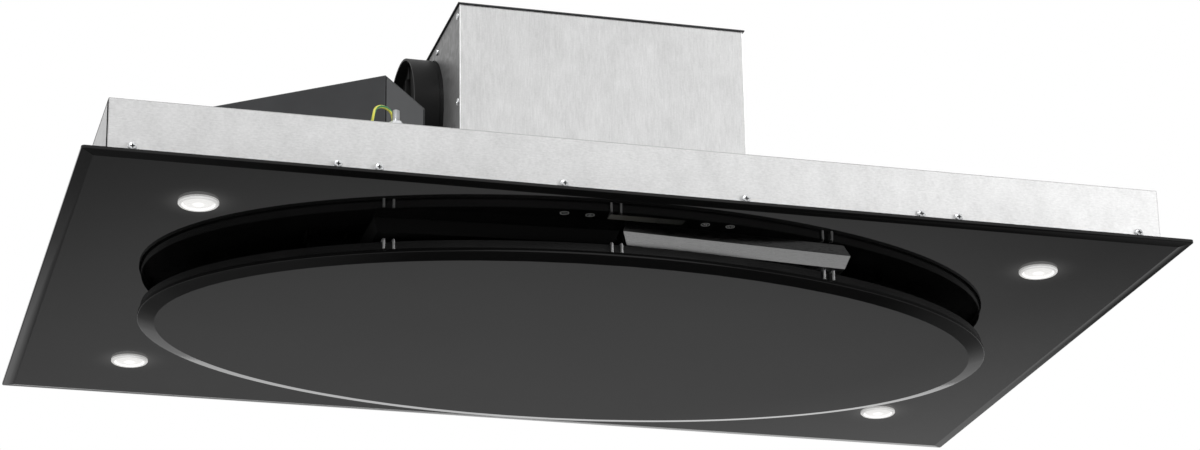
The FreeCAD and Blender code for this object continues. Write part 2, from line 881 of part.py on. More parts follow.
def collar_screws():
    length = sheet + collar_flange
    return [headed_pin(place, (1, 0, 0), collar_screw_head, rivet_head_height, collar_screw_radius, length)
            for place in collar_screw_places()]


def damper_flap(side):
    radius = collar_radius - collar_wall - flap_clearance
    thick = (damper_x - flap_thickness / 2, damper_x + flap_thickness / 2)
    disc = rod(radius, (thick[0], 0, collar_height), (thick[1], 0, collar_height))
    keep = sorted((side * flap_root, side * collar_radius))
    flap = disc.common(block(*thick, *keep, collar_height - radius, collar_height + radius))
    web = sorted((0, side * (flap_root + flap_thickness)))
    pieces = []
    bores = []
    shift = flap_barrel_step * (1 - side) / 2
    for turn in (-1, 1):
        low = collar_height + flap_barrel_step * turn - flap_barrel_step + shift
        high = low + flap_barrel_length
        pieces.append(rod(flap_barrel_radius, (damper_x, 0, low), (damper_x, 0, high)))
        pieces.append(block(*thick, *web, low, high))
        bores.append(rod(damper_pin_radius + damper_running_gap, (damper_x, 0, low), (damper_x, 0, high)))
    return flap.fuse(pieces).cut(bores).removeSplitter()


# Fan

def scroll_passage():
    # Volute of three quarter arcs about the corners of a small square, opening into the outlet on the left.
    quarter = math.pi / 2

    def arc(cx, cz, radius, quarters):
        turns = [quarter * (quarters + k / 2) for k in range(3)]
        at = [Vector(cx + radius * math.cos(turn), 0, cz + radius * math.sin(turn)) for turn in turns]
        return Part.Arc(*at).toShape(), at[0], at[2]
    g = scroll_growth
    first, tongue, low = arc(scroll_centre_x, scroll_centre_z, scroll_radius, 2)
    second, low, right = arc(scroll_centre_x, scroll_centre_z + g, scroll_radius + g, 3)
    third, right, top = arc(scroll_centre_x - g, scroll_centre_z + g, scroll_radius + 2 * g, 0)
    floor = Vector(scroll_outlet_x, 0, scroll_outlet_low)
    ceiling = Vector(scroll_outlet_x, 0, top.z)
    edges = [Part.LineSegment(floor, tongue).toShape(), first, second, third,
             Part.LineSegment(top, ceiling).toShape(), Part.LineSegment(ceiling, floor).toShape()]
    return Part.Face(Part.Wire(edges))


def scroll_slab(face, y0, y1):
    slab = face.extrude(Vector(0, y1 - y0, 0))
    slab.translate(Vector(0, y0, 0))
    return slab


def scroll_outside(y0, y1):
    slab = scroll_slab(scroll_passage().makeOffset2D(scroll_sheet, 2), y0, y1)
    return slab.cut(block(-box_length, scroll_outlet_x, y0, y1, 0, box_height))


def scroll_wrap():
    hollow = scroll_slab(scroll_passage(), -scroll_half, scroll_half)
    return scroll_outside(-scroll_half, scroll_half).cut(hollow)


def scroll_side(side):
    y0, y1 = sorted((side * scroll_half, side * (scroll_half + scroll_sheet)))
    hole = inlet_radius + inlet_throat_wall + inlet_hole_gap
    return scroll_outside(y0, y1).cut(rod(hole, (wheel_x, y0, wheel_z), (wheel_x, y1, wheel_z)))


def inlet_ring(side):
    face = scroll_half + scroll_sheet
    outer = inlet_radius + inlet_throat_wall

    def on_axis(y):
        return wheel_x, side * y, wheel_z
    throat = pipe(outer, inlet_radius, on_axis(scroll_half - inlet_reach), on_axis(face))
    flange = pipe(outer + inlet_flange, inlet_radius, on_axis(face), on_axis(face + inlet_flange_thickness))
    return throat.fuse(flange).removeSplitter()


def scroll_pads():
    low = scroll_top + scroll_sheet
    return [rod(pad_radius, (x, s * pad_place_y, low), (x, s * pad_place_y, wrap_top - sheet))
            for x in pad_places_x for s in (-1, 1)]


def wheel_blade():
    inner = wheel_radius - wheel_blade_depth
    middle = wheel_radius - wheel_blade_depth / 2
    half = wheel_blade_thickness / 2
    start = (wheel_x + middle, -wheel_half, wheel_z)
    end = (wheel_x + middle, wheel_half, wheel_z)
    curve = pipe(wheel_blade_curve + half, wheel_blade_curve - half, start, end)
    band = pipe(wheel_radius, inner, (wheel_x, -wheel_half, wheel_z), (wheel_x, wheel_half, wheel_z))
    reach = 2 * wheel_radius
    upper = block(wheel_x, wheel_x + reach, -wheel_half, wheel_half, wheel_z, wheel_z + reach)
    return curve.common(band).common(upper)


def impeller():
    start = (wheel_x, motor_nose + motor_wheel_gap, wheel_z)
    disc_end = (wheel_x, start[1] + wheel_disc_thickness, wheel_z)
    hub_end = (wheel_x, start[1] + wheel_hub_length, wheel_z)
    disc = rod(wheel_radius, start, disc_end)
    pieces = [rod(wheel_hub_radius, start, hub_end)]
    for s in (-1, 1):
        ring_start = (wheel_x, s * (wheel_half - wheel_ring_width), wheel_z)
        pieces.append(pipe(wheel_radius, wheel_radius - wheel_ring_depth, ring_start,
                           (wheel_x, s * wheel_half, wheel_z)))
    blade = wheel_blade()
    for k in range(wheel_blades):
        copy = blade.copy()
        copy.rotate(Vector(wheel_x, 0, wheel_z), Vector(0, 1, 0), 360.0 * k / wheel_blades)
        pieces.append(copy)
    return disc.fuse(pieces).cut(rod(shaft_radius, start, hub_end))


def motor_shaft():
    end = motor_nose + motor_wheel_gap + wheel_hub_length + shaft_overhang
    return rod(shaft_radius, (wheel_x, bracket_face + shaft_overhang, wheel_z), (wheel_x, end, wheel_z))


def motor():
    start = bracket_face + motor_bell_length
    end = start + motor_body_length
    edge = motor_edge
    nose = bearing_radius + edge
    bore = bearing_radius
    solid = turned([(bore, bracket_face), (motor_bell_radius, bracket_face),
                    (motor_bell_radius, start - edge),
                    (motor_radius - edge, start), (motor_radius, start + edge), (motor_radius, end - edge),
                    (motor_radius - edge, end), (nose, end), (nose, motor_nose), (bore, motor_nose)])
    solid.Placement = FreeCAD.Placement(Vector(wheel_x, 0, wheel_z), FreeCAD.Rotation(up, Vector(0, 1, 0)))
    return solid


def motor_bearings():
    bore = shaft_radius + shaft_running_gap
    return [pipe(bearing_radius, bore, (wheel_x, y, wheel_z), (wheel_x, y + bearing_length, wheel_z))
            for y in (bracket_face, motor_nose - bearing_length)]


def motor_bracket():
    far = bracket_face - bracket_thickness
    hub = rod(bracket_hub_radius, (wheel_x, far, wheel_z), (wheel_x, bracket_face, wheel_z))
    arms = []
    for k in range(bracket_arms):
        arm = block(wheel_x, wheel_x + bracket_arm_radius, far, bracket_face,
                    wheel_z - bracket_arm_width / 2, wheel_z + bracket_arm_width / 2)
        arm.rotate(Vector(wheel_x, 0, wheel_z), Vector(0, 1, 0), 360.0 * k / bracket_arms)
        arms.append(arm)
    return hub.fuse(arms).removeSplitter()


def capacitor_axis():
    return half_box_x - sheet - capacitor_clip_wall - capacitor_radius


def capacitor():
    x = capacitor_axis()
    far = capacitor_near + capacitor_length
    can = rod(capacitor_radius, (x, capacitor_near, capacitor_height), (x, far, capacitor_height))
    return can.makeFillet(capacitor_edge, can.Edges[:1])


def capacitor_clip():
    x = capacitor_axis()
    wall = half_box_x - sheet
    low = capacitor_height - capacitor_radius
    y0 = capacitor_near + (capacitor_length - capacitor_clip_width) / 2
    y1 = y0 + capacitor_clip_width
    ends = ((x, y0, capacitor_height), (x, y1, capacitor_height))
    foot = block(wall - capacitor_radius, wall, y0, y1, low, low + 2 * capacitor_radius)
    band = rod(capacitor_radius + capacitor_clip_wall, *ends).fuse(foot)
    return band.cut(rod(capacitor_radius, *ends)).removeSplitter()


# Electronics box: made along X from its near corner, then turned into place

def placed(shape):
    shape.rotate(Vector(0, 0, 0), up, control_turn)
    shape.translate(Vector(control_x, control_y, 0))
    return shape


def on_control_box(along, out, height):
    turn = math.radians(control_turn)
    return (control_x + along * math.cos(turn) - out * math.sin(turn),
            control_y + along * math.sin(turn) + out * math.cos(turn), height)


def board_corners():
    return [(x, y) for x in (2 * board_inset, control_length - 2 * board_inset)
            for y in (-2 * board_inset, -control_width + 2 * board_inset)]


def control_base():
    t = control_sheet
    base = block(0, control_length, -control_width, 0, 0, t)
    ends = [block(x, x + t, -control_width + t, -t, 0, control_height - t) for x in (0, control_length - t)]
    ends += [block(x, x + control_fold, -control_width + t, -t, control_height - 2 * t, control_height - t)
             for x in (0, control_length - control_fold)]
    posts = [rod(control_post_radius, (x, y, 0), (x, y, t + control_post_height)) for x, y in board_corners()]
    base = base.fuse(ends + posts).removeSplitter()
    base = punched(base, control_screw_places(), (0, 0, -1), rivet_radius)
    middle = -control_width / 2
    z = control_height / 2
    return placed(base.cut(rod(gland_radius, (control_length - t, middle, z), (control_length, middle, z))))


def control_lid():
    t = control_sheet
    lid = block(0, control_length, -control_width, 0, t, control_height)
    lid = folded(folded(lid, y=0, z=control_height), y=-control_width, z=control_height)
    lid = lid.cut(block(0, control_length, -control_width + t, -t, t, control_height - t))
    start = (lead_exit_along, -t, lead_exit_height)
    hole = rod(grommet_radius, start, (lead_exit_along, 0, lead_exit_height))
    return placed(punched(lid.cut(hole), control_screw_places(), (0, 0, -1), rivet_radius))


def control_board():
    low = control_sheet + control_post_height
    top = low + board_thickness
    inset = board_inset
    board = block(inset, control_length - inset, -control_width + inset, -inset, low, top)
    chips = [block(x, x + dx, -y - dy, -y, top, top + board_block_height) for x, y, dx, dy in board_blocks]
    return placed(board.fuse(chips).removeSplitter())


def control_screw_places():
    return [(x, y, control_height) for x in (box_screw_inset, control_length - box_screw_inset)
            for y in (-box_screw_inset, -control_width + box_screw_inset)]


def control_screws():
    length = 2 * control_sheet + screw_point
    return [placed(headed_pin(place, (0, 0, -1), rivet_head_radius, rivet_head_height, rivet_radius, length))
            for place in control_screw_places()]


def cable_gland():
    inside = control_length - control_sheet

    def on_axis(x):
        return x, -control_width / 2, control_height / 2
    start = on_axis(inside - gland_nut_length)
    end = on_axis(control_length + gland_length)
    gland = rod(gland_radius, on_axis(inside), end)
    nut = rod(gland_nut_radius, on_axis(control_length), on_axis(control_length + gland_nut_length))
    lock = rod(gland_nut_radius, start, on_axis(inside))
    gland = gland.fuse([nut, lock]).removeSplitter()
    return placed(gland.cut(rod(gland_bore, start, end)))


def lead_grommet():
    x = lead_exit_along
    z = lead_exit_height
    return placed(pipe(grommet_radius, lead_radius, (x, -control_sheet, z), (x, grommet_length, z)))


# Earth stud and lead

def earth_stud():
    return rod(stud_radius, (stud_x, stud_y, -sheet - stud_below), (stud_x, stud_y, stud_height))


def earth_nuts():
    above = nut_height + lug_thickness
    return [hex_nut(stud_x, stud_y, -sheet - nut_height, nut_flats, nut_height, stud_radius),
            hex_nut(stud_x, stud_y, 0, nut_flats, nut_height, stud_radius),
            hex_nut(stud_x, stud_y, above, nut_flats, nut_height, stud_radius)]


def earth_lug():
    # Ring under the upper nut, with its barrel standing up behind the stud.
    top = nut_height + lug_thickness
    half = lug_barrel_radius
    barrel_top = (stud_x, barrel_y, top + lug_barrel_height)
    ring = rod(lug_radius, (stud_x, stud_y, nut_height), (stud_x, stud_y, top))
    tail = block(stud_x - half, stud_x + half, stud_y, barrel_y, nut_height, top)
    barrel = rod(half, (stud_x, barrel_y, nut_height), barrel_top)
    lug = ring.fuse([tail, barrel]).cut(rod(stud_radius, (stud_x, stud_y, nut_height), (stud_x, stud_y, top)))
    return lug.cut(rod(lead_radius, (stud_x, barrel_y, top), barrel_top)).removeSplitter()


def lead_route():
    # Up out of the lug, over in one loop, and square into the grommet.
    low = nut_height + lug_thickness
    start = [(stud_x, barrel_y, low), (stud_x, barrel_y, low + lead_rise)]
    loop = [(stud_x + x, barrel_y + y, z) for x, y, z in lead_loop]
    end = [on_control_box(lead_exit_along, out, lead_exit_height) for out in (lead_straight, -control_sheet)]
    return start + loop + end


def earth_lead():
    route = lead_route()
    spine, radii = rounded_route(route, lambda shorter, half: lead_bend_share * shorter)
    lead = round_bar(spine, route, lead_radius)
    share = lead.Volume / (math.pi * lead_radius ** 2 * spine.Length)
    print("earth_lead radii", [round(r, 1) for r in radii])
    print("earth_lead length", round(spine.Length, 1), "volume over section times length", round(share, 4))
    return lead


# Writing the pieces

def save(name, pieces):
    shape = pieces if isinstance(pieces, Part.Shape) else Part.makeCompound(pieces)
    for solid in shape.Solids:
        if not solid.isValid():
            print("invalid solid in", name)
    if shape.ShapeType == "Compound" and len(shape.Solids) == 1:
        shape = shape.Solids[0]
    shape.exportStep("parts/" + name + ".step")
    print(name, len(shape.Solids), round(shape.Volume / 1000, 2), "cm3")


def main():
    os.makedirs("parts", exist_ok=True)
    sides = (-1, 1)
    save("body_shell", body_shell())
    save("end_wall_left", mirrored(end_wall()))
    save("end_wall_right", end_wall())
    save("glass_frame", glass_frame())
    save("wall_screws", wall_screws())
    save("glass_panel", glass_panel())
    save("lamp_bezels", [lamp_bezel(x, y) for x, y in lamp_places])
    save("lamp_lenses", [lamp_lens(x, y) for x, y in lamp_places])
    save("lamp_cans", [lamp_can(x, y) for x, y in lamp_places])
    save("lamp_nuts", [lamp_nut(x, y) for x, y in lamp_places])
    save("touch_board", touch_board())
    save("intake_frame", shifted(intake_frame()))
    save("filter_pan_left", shifted(mirrored(filter_pan())))
    save("filter_pan_right", shifted(filter_pan()))
    save("filter_mesh_left", shifted(mirrored(filter_mesh())))
    save("filter_mesh_right", shifted(filter_mesh()))
    save("filter_latch_left", shifted(mirrored(filter_latch())))
    save("filter_latch_right", shifted(filter_latch()))
    save("plate_glass", plate_glass())
    save("plate_tray", plate_tray())
    save("tray_clips", [tray_clip(x) for x in clip_places])
    save("hinge_arms", [hinge_arm(s) for s in sides])
    save("hinge_ears", [hinge_ears(s) for s in sides])
    save("hinge_pins", [hinge_pin(s) for s in sides])
    save("catch_magnets", [catch_magnet(s) for s in sides])
    save("strike_plates", [strike_plate(s) for s in sides])
    save("motor_box_wrap", box_wrap())
    save("motor_box_left", box_left_side())
    save("motor_box_right", box_side())
    save("motor_box_lid", box_lid())
    save("box_rivets", box_rivets())
    save("duct_collar", duct_collar())
    save("collar_screws", collar_screws())
    save("damper_pin", damper_pin())
    save("damper_flap_front", damper_flap(-1))
    save("damper_flap_rear", damper_flap(1))
    save("scroll_wrap", scroll_wrap())
    save("scroll_side_front", scroll_side(-1))
    save("scroll_side_rear", scroll_side(1))
    save("inlet_rings", [inlet_ring(s) for s in sides])
    save("scroll_pads", scroll_pads())
    save("impeller", impeller())
    save("motor_shaft", motor_shaft())
    save("motor", motor())
    save("motor_bearings", motor_bearings())
    save("motor_bracket", motor_bracket())
    save("capacitor", capacitor())
    save("capacitor_clip", capacitor_clip())
    save("control_box_base", control_base())
    save("control_box_lid", control_lid())
    save("control_board", control_board())
    save("control_box_screws", control_screws())
    save("cable_gland", cable_gland())
    save("lead_grommet", lead_grommet())
    save("earth_stud", earth_stud())
    save("earth_nuts", earth_nuts())
    save("earth_lug", earth_lug())
    save("earth_lead", earth_lead())


main()
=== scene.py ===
import bpy
import bmesh
import json
import math
from mathutils import Matrix, Vector


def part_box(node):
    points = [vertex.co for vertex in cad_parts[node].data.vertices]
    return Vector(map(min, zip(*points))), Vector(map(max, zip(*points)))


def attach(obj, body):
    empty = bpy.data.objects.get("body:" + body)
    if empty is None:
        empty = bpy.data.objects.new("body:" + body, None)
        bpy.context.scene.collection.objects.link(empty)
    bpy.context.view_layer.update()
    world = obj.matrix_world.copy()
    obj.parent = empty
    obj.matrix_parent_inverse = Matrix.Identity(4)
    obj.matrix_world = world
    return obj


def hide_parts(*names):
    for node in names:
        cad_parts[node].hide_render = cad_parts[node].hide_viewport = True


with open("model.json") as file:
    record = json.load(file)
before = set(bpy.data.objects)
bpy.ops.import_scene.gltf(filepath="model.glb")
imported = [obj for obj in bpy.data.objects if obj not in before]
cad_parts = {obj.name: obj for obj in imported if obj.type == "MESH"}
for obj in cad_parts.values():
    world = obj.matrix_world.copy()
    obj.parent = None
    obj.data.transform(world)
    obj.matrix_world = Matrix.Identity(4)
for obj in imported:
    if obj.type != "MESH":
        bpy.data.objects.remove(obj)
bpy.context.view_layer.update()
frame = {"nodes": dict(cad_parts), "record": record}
cadNodes = frame["nodes"]
record = frame["record"]
mm = 0.001
slotOf = {subpart["node"]: subpart["material_slot"] for subpart in record["subparts"]}
bodyOf = {node: body for body, members in record["behaviour"]["bodies"].items() for node in members}
print("frame loaded:", len(cadNodes), "nodes")

# Levels and places that several pieces share
panelUnder = -52 * mm
lampPlaces = [(x * mm, y * mm, panelUnder) for x in (-349, 349) for y in (-194, 194)]
lampTint = (1.0, 0.99, 0.97, 1)
lensRadius = 12.9 * mm
bezelRadius = 16.2 * mm
touchLine = -233.6 * mm       # the keys and the display stand in one row
displayHalf = 31 * mm
printThickness = 0.06 * mm
motorBoxSide = 124 * mm
controlBox = {"x": -208 * mm, "y": -220 * mm, "turn": math.radians(142.8), "length": 180 * mm, "width": 75 * mm,
              "height": 58 * mm}
controlBoxPlace = (Matrix.Translation((controlBox["x"], controlBox["y"], 0))
                   @ Matrix.Rotation(controlBox["turn"], 4, "Z"))


# Small helpers for node materials

def newMaterial(name, sockets):
    material = bpy.data.materials.new(name)
    material.use_nodes = True
    shader = material.node_tree.nodes["Principled BSDF"]
    for socket, value in sockets.items():
        shader.inputs[socket].default_value = value
    return material


def connect(material, socket, value):
    if isinstance(value, bpy.types.NodeSocket):
        material.node_tree.links.new(value, socket)
    else:
        socket.default_value = value


def addNode(material, kind, settings=None, **inputs):
    node = material.node_tree.nodes.new("ShaderNode" + kind)
    for setting, value in (settings or {}).items():
        setattr(node, setting, value)
    for socket, value in inputs.items():
        connect(material, node.inputs[socket.replace("_", " ")], value)
    return node


def shade(material, **sockets):
    shader = material.node_tree.nodes["Principled BSDF"]
    for socket, value in sockets.items():
        connect(material, shader.inputs[socket.replace("_", " ")], value)


def objectPoint(material, stretch=(1, 1, 1)):
    place = addNode(material, "TexCoord").outputs["Object"]
    return addNode(material, "Mapping", Vector=place, Scale=stretch).outputs["Vector"]


def coordinate(material, axis):
    return addNode(material, "SeparateXYZ", Vector=objectPoint(material)).outputs[axis]


def noise(material, scale, detail=3.0, stretch=(1, 1, 1)):
    point = objectPoint(material, stretch)
    return addNode(material, "TexNoise", Vector=point, Scale=scale, Detail=detail).outputs["Fac"]


def calculated(material, operation, *values):
    node = addNode(material, "Math", {"operation": operation})
    for socket, value in zip(node.inputs, values):
        connect(material, socket, value)
    return node.outputs[0]


def ranged(material, value, low, high, start=0.3, end=0.7):
    node = addNode(material, "MapRange", Value=value, From_Min=start, From_Max=end, To_Min=low, To_Max=high)
    return node.outputs["Result"]


def past(material, value, start, width):
    # 0 up to start, 1 once the width is passed
    return ranged(material, value, 0.0, 1.0, start, start + width)


def grey(level):
    return (level, level, level)


def scaled(colour, share):
    return tuple(channel * share for channel in colour)


def opaque(colour):
    return (*colour, 1)


def ramp(material, value, *stops):
    node = addNode(material, "ValToRGB", Fac=value)
    elements = node.color_ramp.elements
    while len(elements) < len(stops):
        elements.new(0.5)
    for element, (place, colour) in zip(elements, stops):
        element.position = place
        element.color = opaque(colour)
    return node.outputs["Color"]


def greyRamp(material, value, dark, light, start=0.3, end=0.7):
    return ramp(material, value, (start, grey(dark)), (end, grey(light)))


def mixed(material, factor, first, second):
    node = addNode(material, "Mix", {"data_type": "RGBA"})
    for index, value in ((0, factor), (6, first), (7, second)):
        connect(material, node.inputs[index], value)
    return node.outputs[2]


def bump(material, height, distance):
    return addNode(material, "Bump", Height=height, Distance=distance).outputs["Normal"]


def distanceFrom(material, point, place):
    node = addNode(material, "VectorMath", {"operation": "DISTANCE"})
    connect(material, node.inputs[0], point)
    connect(material, node.inputs[1], place)
    return node.outputs["Value"]


def lampDistance(material):
    # distance to the nearest lamp's centre
    point = objectPoint(material)
    nearest = None
    for place in lampPlaces:
        away = distanceFrom(material, point, place)
        nearest = away if nearest is None else calculated(material, "MINIMUM", nearest, away)
    return nearest


# Finishes

def galvanisedSteel(name, zinc):
    level = zinc["level"]
    material = newMaterial(name, {"Metallic": zinc["metallic"], "IOR": 1.6})
    cells = addNode(material, "TexVoronoi", Vector=objectPoint(material), Scale=210.0)
    crystals = addNode(material, "SeparateColor", Color=cells.outputs["Color"]).outputs["Red"]
    streaks = noise(material, 1.0, 3.0, zinc["streak"])
    grain = noise(material, 620.0, 2.0)
    mottle = noise(material, 70.0, 3.0, (1, 1, 0.6))
    blotch = noise(material, 26.0, 5.0)
    # share in the mix, pattern, dark and light as parts of the level, ends of the ramp
    layers = (
        (0.35, blotch, 0.84, 1.12, 0.32, 0.68),
        (0.10, crystals, 0.80, 1.15, 0.0, 1.0),
        (0.20, grain, 0.70, 1.25, 0.3, 0.7),
        (0.26, streaks, 0.70, 1.22, 0.3, 0.7),
    )
    base = greyRamp(material, mottle, level * 0.86, level * 1.08, 0.32, 0.68)
    for share, pattern, dark, light, start, end in layers:
        layer = greyRamp(material, pattern, level * dark, level * light, start, end)
        base = mixed(material, share, base, layer)
    if "wornFrom" in zinc:
        # painted highlight: the folded corner edges are painted bright
        across = calculated(material, "ABSOLUTE", coordinate(material, "Y"))
        base = mixed(material, past(material, across, zinc["wornFrom"], 0.2 * mm), base, opaque(grey(0.93)))
    if "bend" in zinc:
        # painted shade: the long bends and the cut ends of the shell are painted darker than its faces
        bend = zinc["bend"]
        across = calculated(material, "ABSOLUTE", coordinate(material, "Y"))
        along = calculated(material, "ABSOLUTE", coordinate(material, "X"))
        bent = calculated(material, "MINIMUM", past(material, across, bend["y"], 0.4 * mm),
                          past(material, coordinate(material, "Z"), bend["z"], 0.6 * mm))
        edge = calculated(material, "MAXIMUM", bent, past(material, along, bend["x"], 0.4 * mm))
        base = mixed(material, edge, base, opaque(grey(level * bend["dark"])))
    shade(material, Base_Color=base, Roughness=ranged(material, crystals, 0.36, 0.50, 0.0, 1.0),
          Normal=bump(material, streaks, 0.012 * mm))
    return material


def blackGlass():
    halo = {"start": 15 * mm, "end": 48 * mm, "fall": 4.0, "glow": 0.04}
    material = newMaterial("blackGlass", {"IOR": 1.5, "Specular IOR Level": 0.30, "Emission Color": lampTint})
    smudge = noise(material, 9.0, 5.0)
    # painted glow: the glass round each lamp glows a little, as the lamps' light would spill over it
    share = ranged(material, lampDistance(material), 1.0, 0.0, halo["start"], halo["end"])
    paintedSpill = calculated(material, "MULTIPLY", calculated(material, "POWER", share, halo["fall"]), halo["glow"])
    shade(material, Base_Color=greyRamp(material, smudge, 0.003, 0.006, 0.3, 0.8),
          Roughness=ranged(material, smudge, 0.012, 0.035), Emission_Strength=paintedSpill)
    return material


def paintedBlackSteel():
    material = newMaterial("blackSteel", {"IOR": 1.5, "Specular IOR Level": 0.2})
    grain = noise(material, 900.0, 2.0)
    clouds = noise(material, 14.0, 4.0)
    shade(material, Base_Color=greyRamp(material, clouds, 0.005, 0.010, 0.3, 0.75),
          Roughness=ranged(material, clouds, 0.28, 0.40), Normal=bump(material, grain, 0.02 * mm))
    return material


def brushedSteel(name, level, stretch):
    material = newMaterial(name, {"Metallic": 1.0, "Anisotropic": 0.5})
    brush = noise(material, 1.0, 3.0, stretch)
    clouds = noise(material, 10.0, 3.0)
    base = greyRamp(material, brush, level * 0.82, level)
    base = mixed(material, 0.15, base, greyRamp(material, clouds, level * 0.8, level))
    shade(material, Base_Color=base, Roughness=ranged(material, brush, 0.24, 0.36),
          Normal=bump(material, brush, 0.02 * mm))
    return material


def plainMetal(name, colour, roughness, metallic=1.0):
    material = newMaterial(name, {"Metallic": metallic})
    tarnish = noise(material, 120.0, 4.0)
    shade(material, Base_Color=ramp(material, tarnish, (0.3, scaled(colour, 0.78)), (0.7, colour)),
          Roughness=ranged(material, tarnish, roughness * 0.8, roughness * 1.25),
          Normal=bump(material, noise(material, 700.0, 2.0), 0.015 * mm))
    return material


def grainedPlastic(name, colour, roughness, grainDepth=0.04, gloss=0.5):
    material = newMaterial(name, {"IOR": 1.46, "Specular IOR Level": gloss})
    clouds = noise(material, 25.0, 4.0)
    grain = noise(material, 1400.0, 2.0)
    shade(material, Base_Color=ramp(material, clouds, (0.3, scaled(colour, 0.72)), (0.7, colour)),
          Roughness=ranged(material, clouds, roughness * 0.85, roughness * 1.1),
          Normal=bump(material, grain, grainDepth * mm))
    return material


def displayGlass():
    window = {"bright": (0.120, 0.118, 0.105), "dark": (0.030, 0.031, 0.028)}
    material = newMaterial("displayTint", {"IOR": 1.46, "Specular IOR Level": 0.5})
    # the window is lighter towards its -x end and darker towards its +x end
    share = past(material, coordinate(material, "X"), -displayHalf, 2 * displayHalf)
    haze = noise(material, 60.0, 3.0)
    shade(material, Base_Color=ramp(material, share, (0.0, window["bright"]), (1.0, window["dark"])),
          Roughness=ranged(material, haze, 0.10, 0.18))
    return material


def litLens():
    # glow at parts of the lens's radius
    glow = ((0.20, 1.1), (0.48, 0.70), (0.75, 0.70), (0.98, 0.56))
    material = newMaterial("lampLens", {"Base Color": opaque(grey(0.6)), "Emission Color": lampTint})
    frost = noise(material, 1600.0, 2.0)
    share = past(material, lampDistance(material), 0.0, lensRadius)
    light = ramp(material, share, *[(place, grey(strength)) for place, strength in glow])
    shade(material, Roughness=ranged(material, frost, 0.18, 0.30), Emission_Strength=light)
    return material


def litBezel():
    # satin ring with a painted glow, brightest next to the lens
    material = newMaterial("lampBezel", {"Metallic": 0.6, "Roughness": 0.3, "Emission Color": lampTint})
    satin = noise(material, 900.0, 2.0)
    shade(material, Base_Color=greyRamp(material, satin, 0.6, 0.8),
          Emission_Strength=ranged(material, lampDistance(material), 0.62, 0.30, lensRadius, bezelRadius))
    return material


def circuitBoard():
    material = newMaterial("circuitBoard", {"IOR": 1.5})
    tracks = addNode(material, "TexBrick", Vector=objectPoint(material), Scale=160.0, Mortar_Size=0.03,
                     Color1=(0.012, 0.09, 0.035, 1), Color2=(0.010, 0.07, 0.030, 1),
                     Mortar=(0.05, 0.16, 0.06, 1))
    shade(material, Base_Color=tracks.outputs["Color"],
          Roughness=ranged(material, noise(material, 60.0), 0.3, 0.45))
    return material


def stripedInsulation():
    # yellow and green by the tube's own attribute, which runs round the lead
    material = newMaterial("earthInsulation", {"IOR": 1.46})
    turn = addNode(material, "Attribute", {"attribute_name": "turn"}).outputs["Fac"]
    band = ramp(material, turn, (0.56, (0.66, 0.62, 0.10)), (0.62, (0.03, 0.16, 0.06)))
    shade(material, Base_Color=band, Roughness=ranged(material, noise(material, 300.0), 0.34, 0.46))
    return material


bodySheet = {"level": 0.62, "metallic": 0.25, "streak": (260, 260, 900)}
boxSheet = {"level": 0.54, "metallic": 0.25, "streak": (1000, 1000, 110)}
# painted shade along the shell's long bends and cut ends
shellBendShade = {"x": 428.2 * mm, "y": 260.9 * mm, "z": -1.4 * mm, "dark": 0.55}
boxFold = 118.6 * mm

# one finish for each of the record's slots
finishes = {
    "galvanised": galvanisedSteel("galvanised", bodySheet),
    "black_glass": blackGlass(),
    "black_steel": paintedBlackSteel(),
    "filter_steel": brushedSteel("filterSteel", 0.38, (12, 1800, 1800)),
    "filter_mesh": plainMetal("meshAluminium", (0.62, 0.63, 0.64), 0.34),
    "zinc_fasteners": plainMetal("zincFasteners", (0.74, 0.75, 0.76), 0.28),
    "chrome": plainMetal("chrome", (0.86, 0.87, 0.88), 0.08),
    "lamp_lens": litLens(),
    "lamp_metal": plainMetal("lampAluminium", (0.60, 0.61, 0.62), 0.38),
    "black_plastic": grainedPlastic("blackPlastic", grey(0.008), 0.55, gloss=0.14),
    # painted shade: the motor box's lid takes this dark coat too, for the dark line along the box's top
    "dark_box": grainedPlastic("boxPowderCoat", (0.044, 0.045, 0.047), 0.5, 0.06, gloss=0.3),
    "circuit_board": circuitBoard(),
    "fan_wheel": grainedPlastic("fanWheel", (0.05, 0.05, 0.052), 0.5),
    "shaft_steel": plainMetal("shaftSteel", (0.58, 0.58, 0.59), 0.22),
    "motor_case": plainMetal("motorCase", (0.45, 0.45, 0.46), 0.42),
    "bearing_bronze": plainMetal("bearingBronze", (0.52, 0.34, 0.16), 0.32),
    "magnet": grainedPlastic("magnetFerrite", grey(0.035), 0.6, 0.06),
    "rubber": grainedPlastic("rubber", grey(0.012), 0.75, 0.06, gloss=0.3),
    "capacitor_white": grainedPlastic("capacitorWhite", (0.74, 0.74, 0.71), 0.35, 0.01),
    "earth_insulation": stripedInsulation(),
}
# nodes that look different from the rest of their slot
flapPlastic = grainedPlastic("flapPlastic", grey(0.004), 0.7, 0.03, gloss=0.06)
ownFinishes = {
    "body_shell": galvanisedSteel("shellZinc", {**bodySheet, "bend": shellBendShade}),
    "motor_box_wrap": galvanisedSteel("boxZinc", boxSheet),
    # the motor box's side walls carry a painted highlight along their folded front edges
    "motor_box_right": galvanisedSteel("edgedZinc", {**boxSheet, "wornFrom": boxFold}),
    # painted shade: the motor box's left wall gets a far darker zinc than its other walls
    "motor_box_left": galvanisedSteel("dullZinc", {**boxSheet, "level": 0.15, "metallic": 0.30, "wornFrom": boxFold}),
    "tray_clips": plainMetal("clipWire", grey(0.90), 0.2, 0.5),
    "plate_tray": grainedPlastic("trayGloss", grey(0.012), 0.22, 0.004),
    # the left filter pan is near black, far darker than the brushed right pan
    "filter_pan_left": grainedPlastic("panCoat", grey(0.004), 0.55, 0.01, gloss=0.05),
    "damper_flap_front": flapPlastic,
    "damper_flap_rear": flapPlastic,
    "lamp_bezels": litBezel(),
}
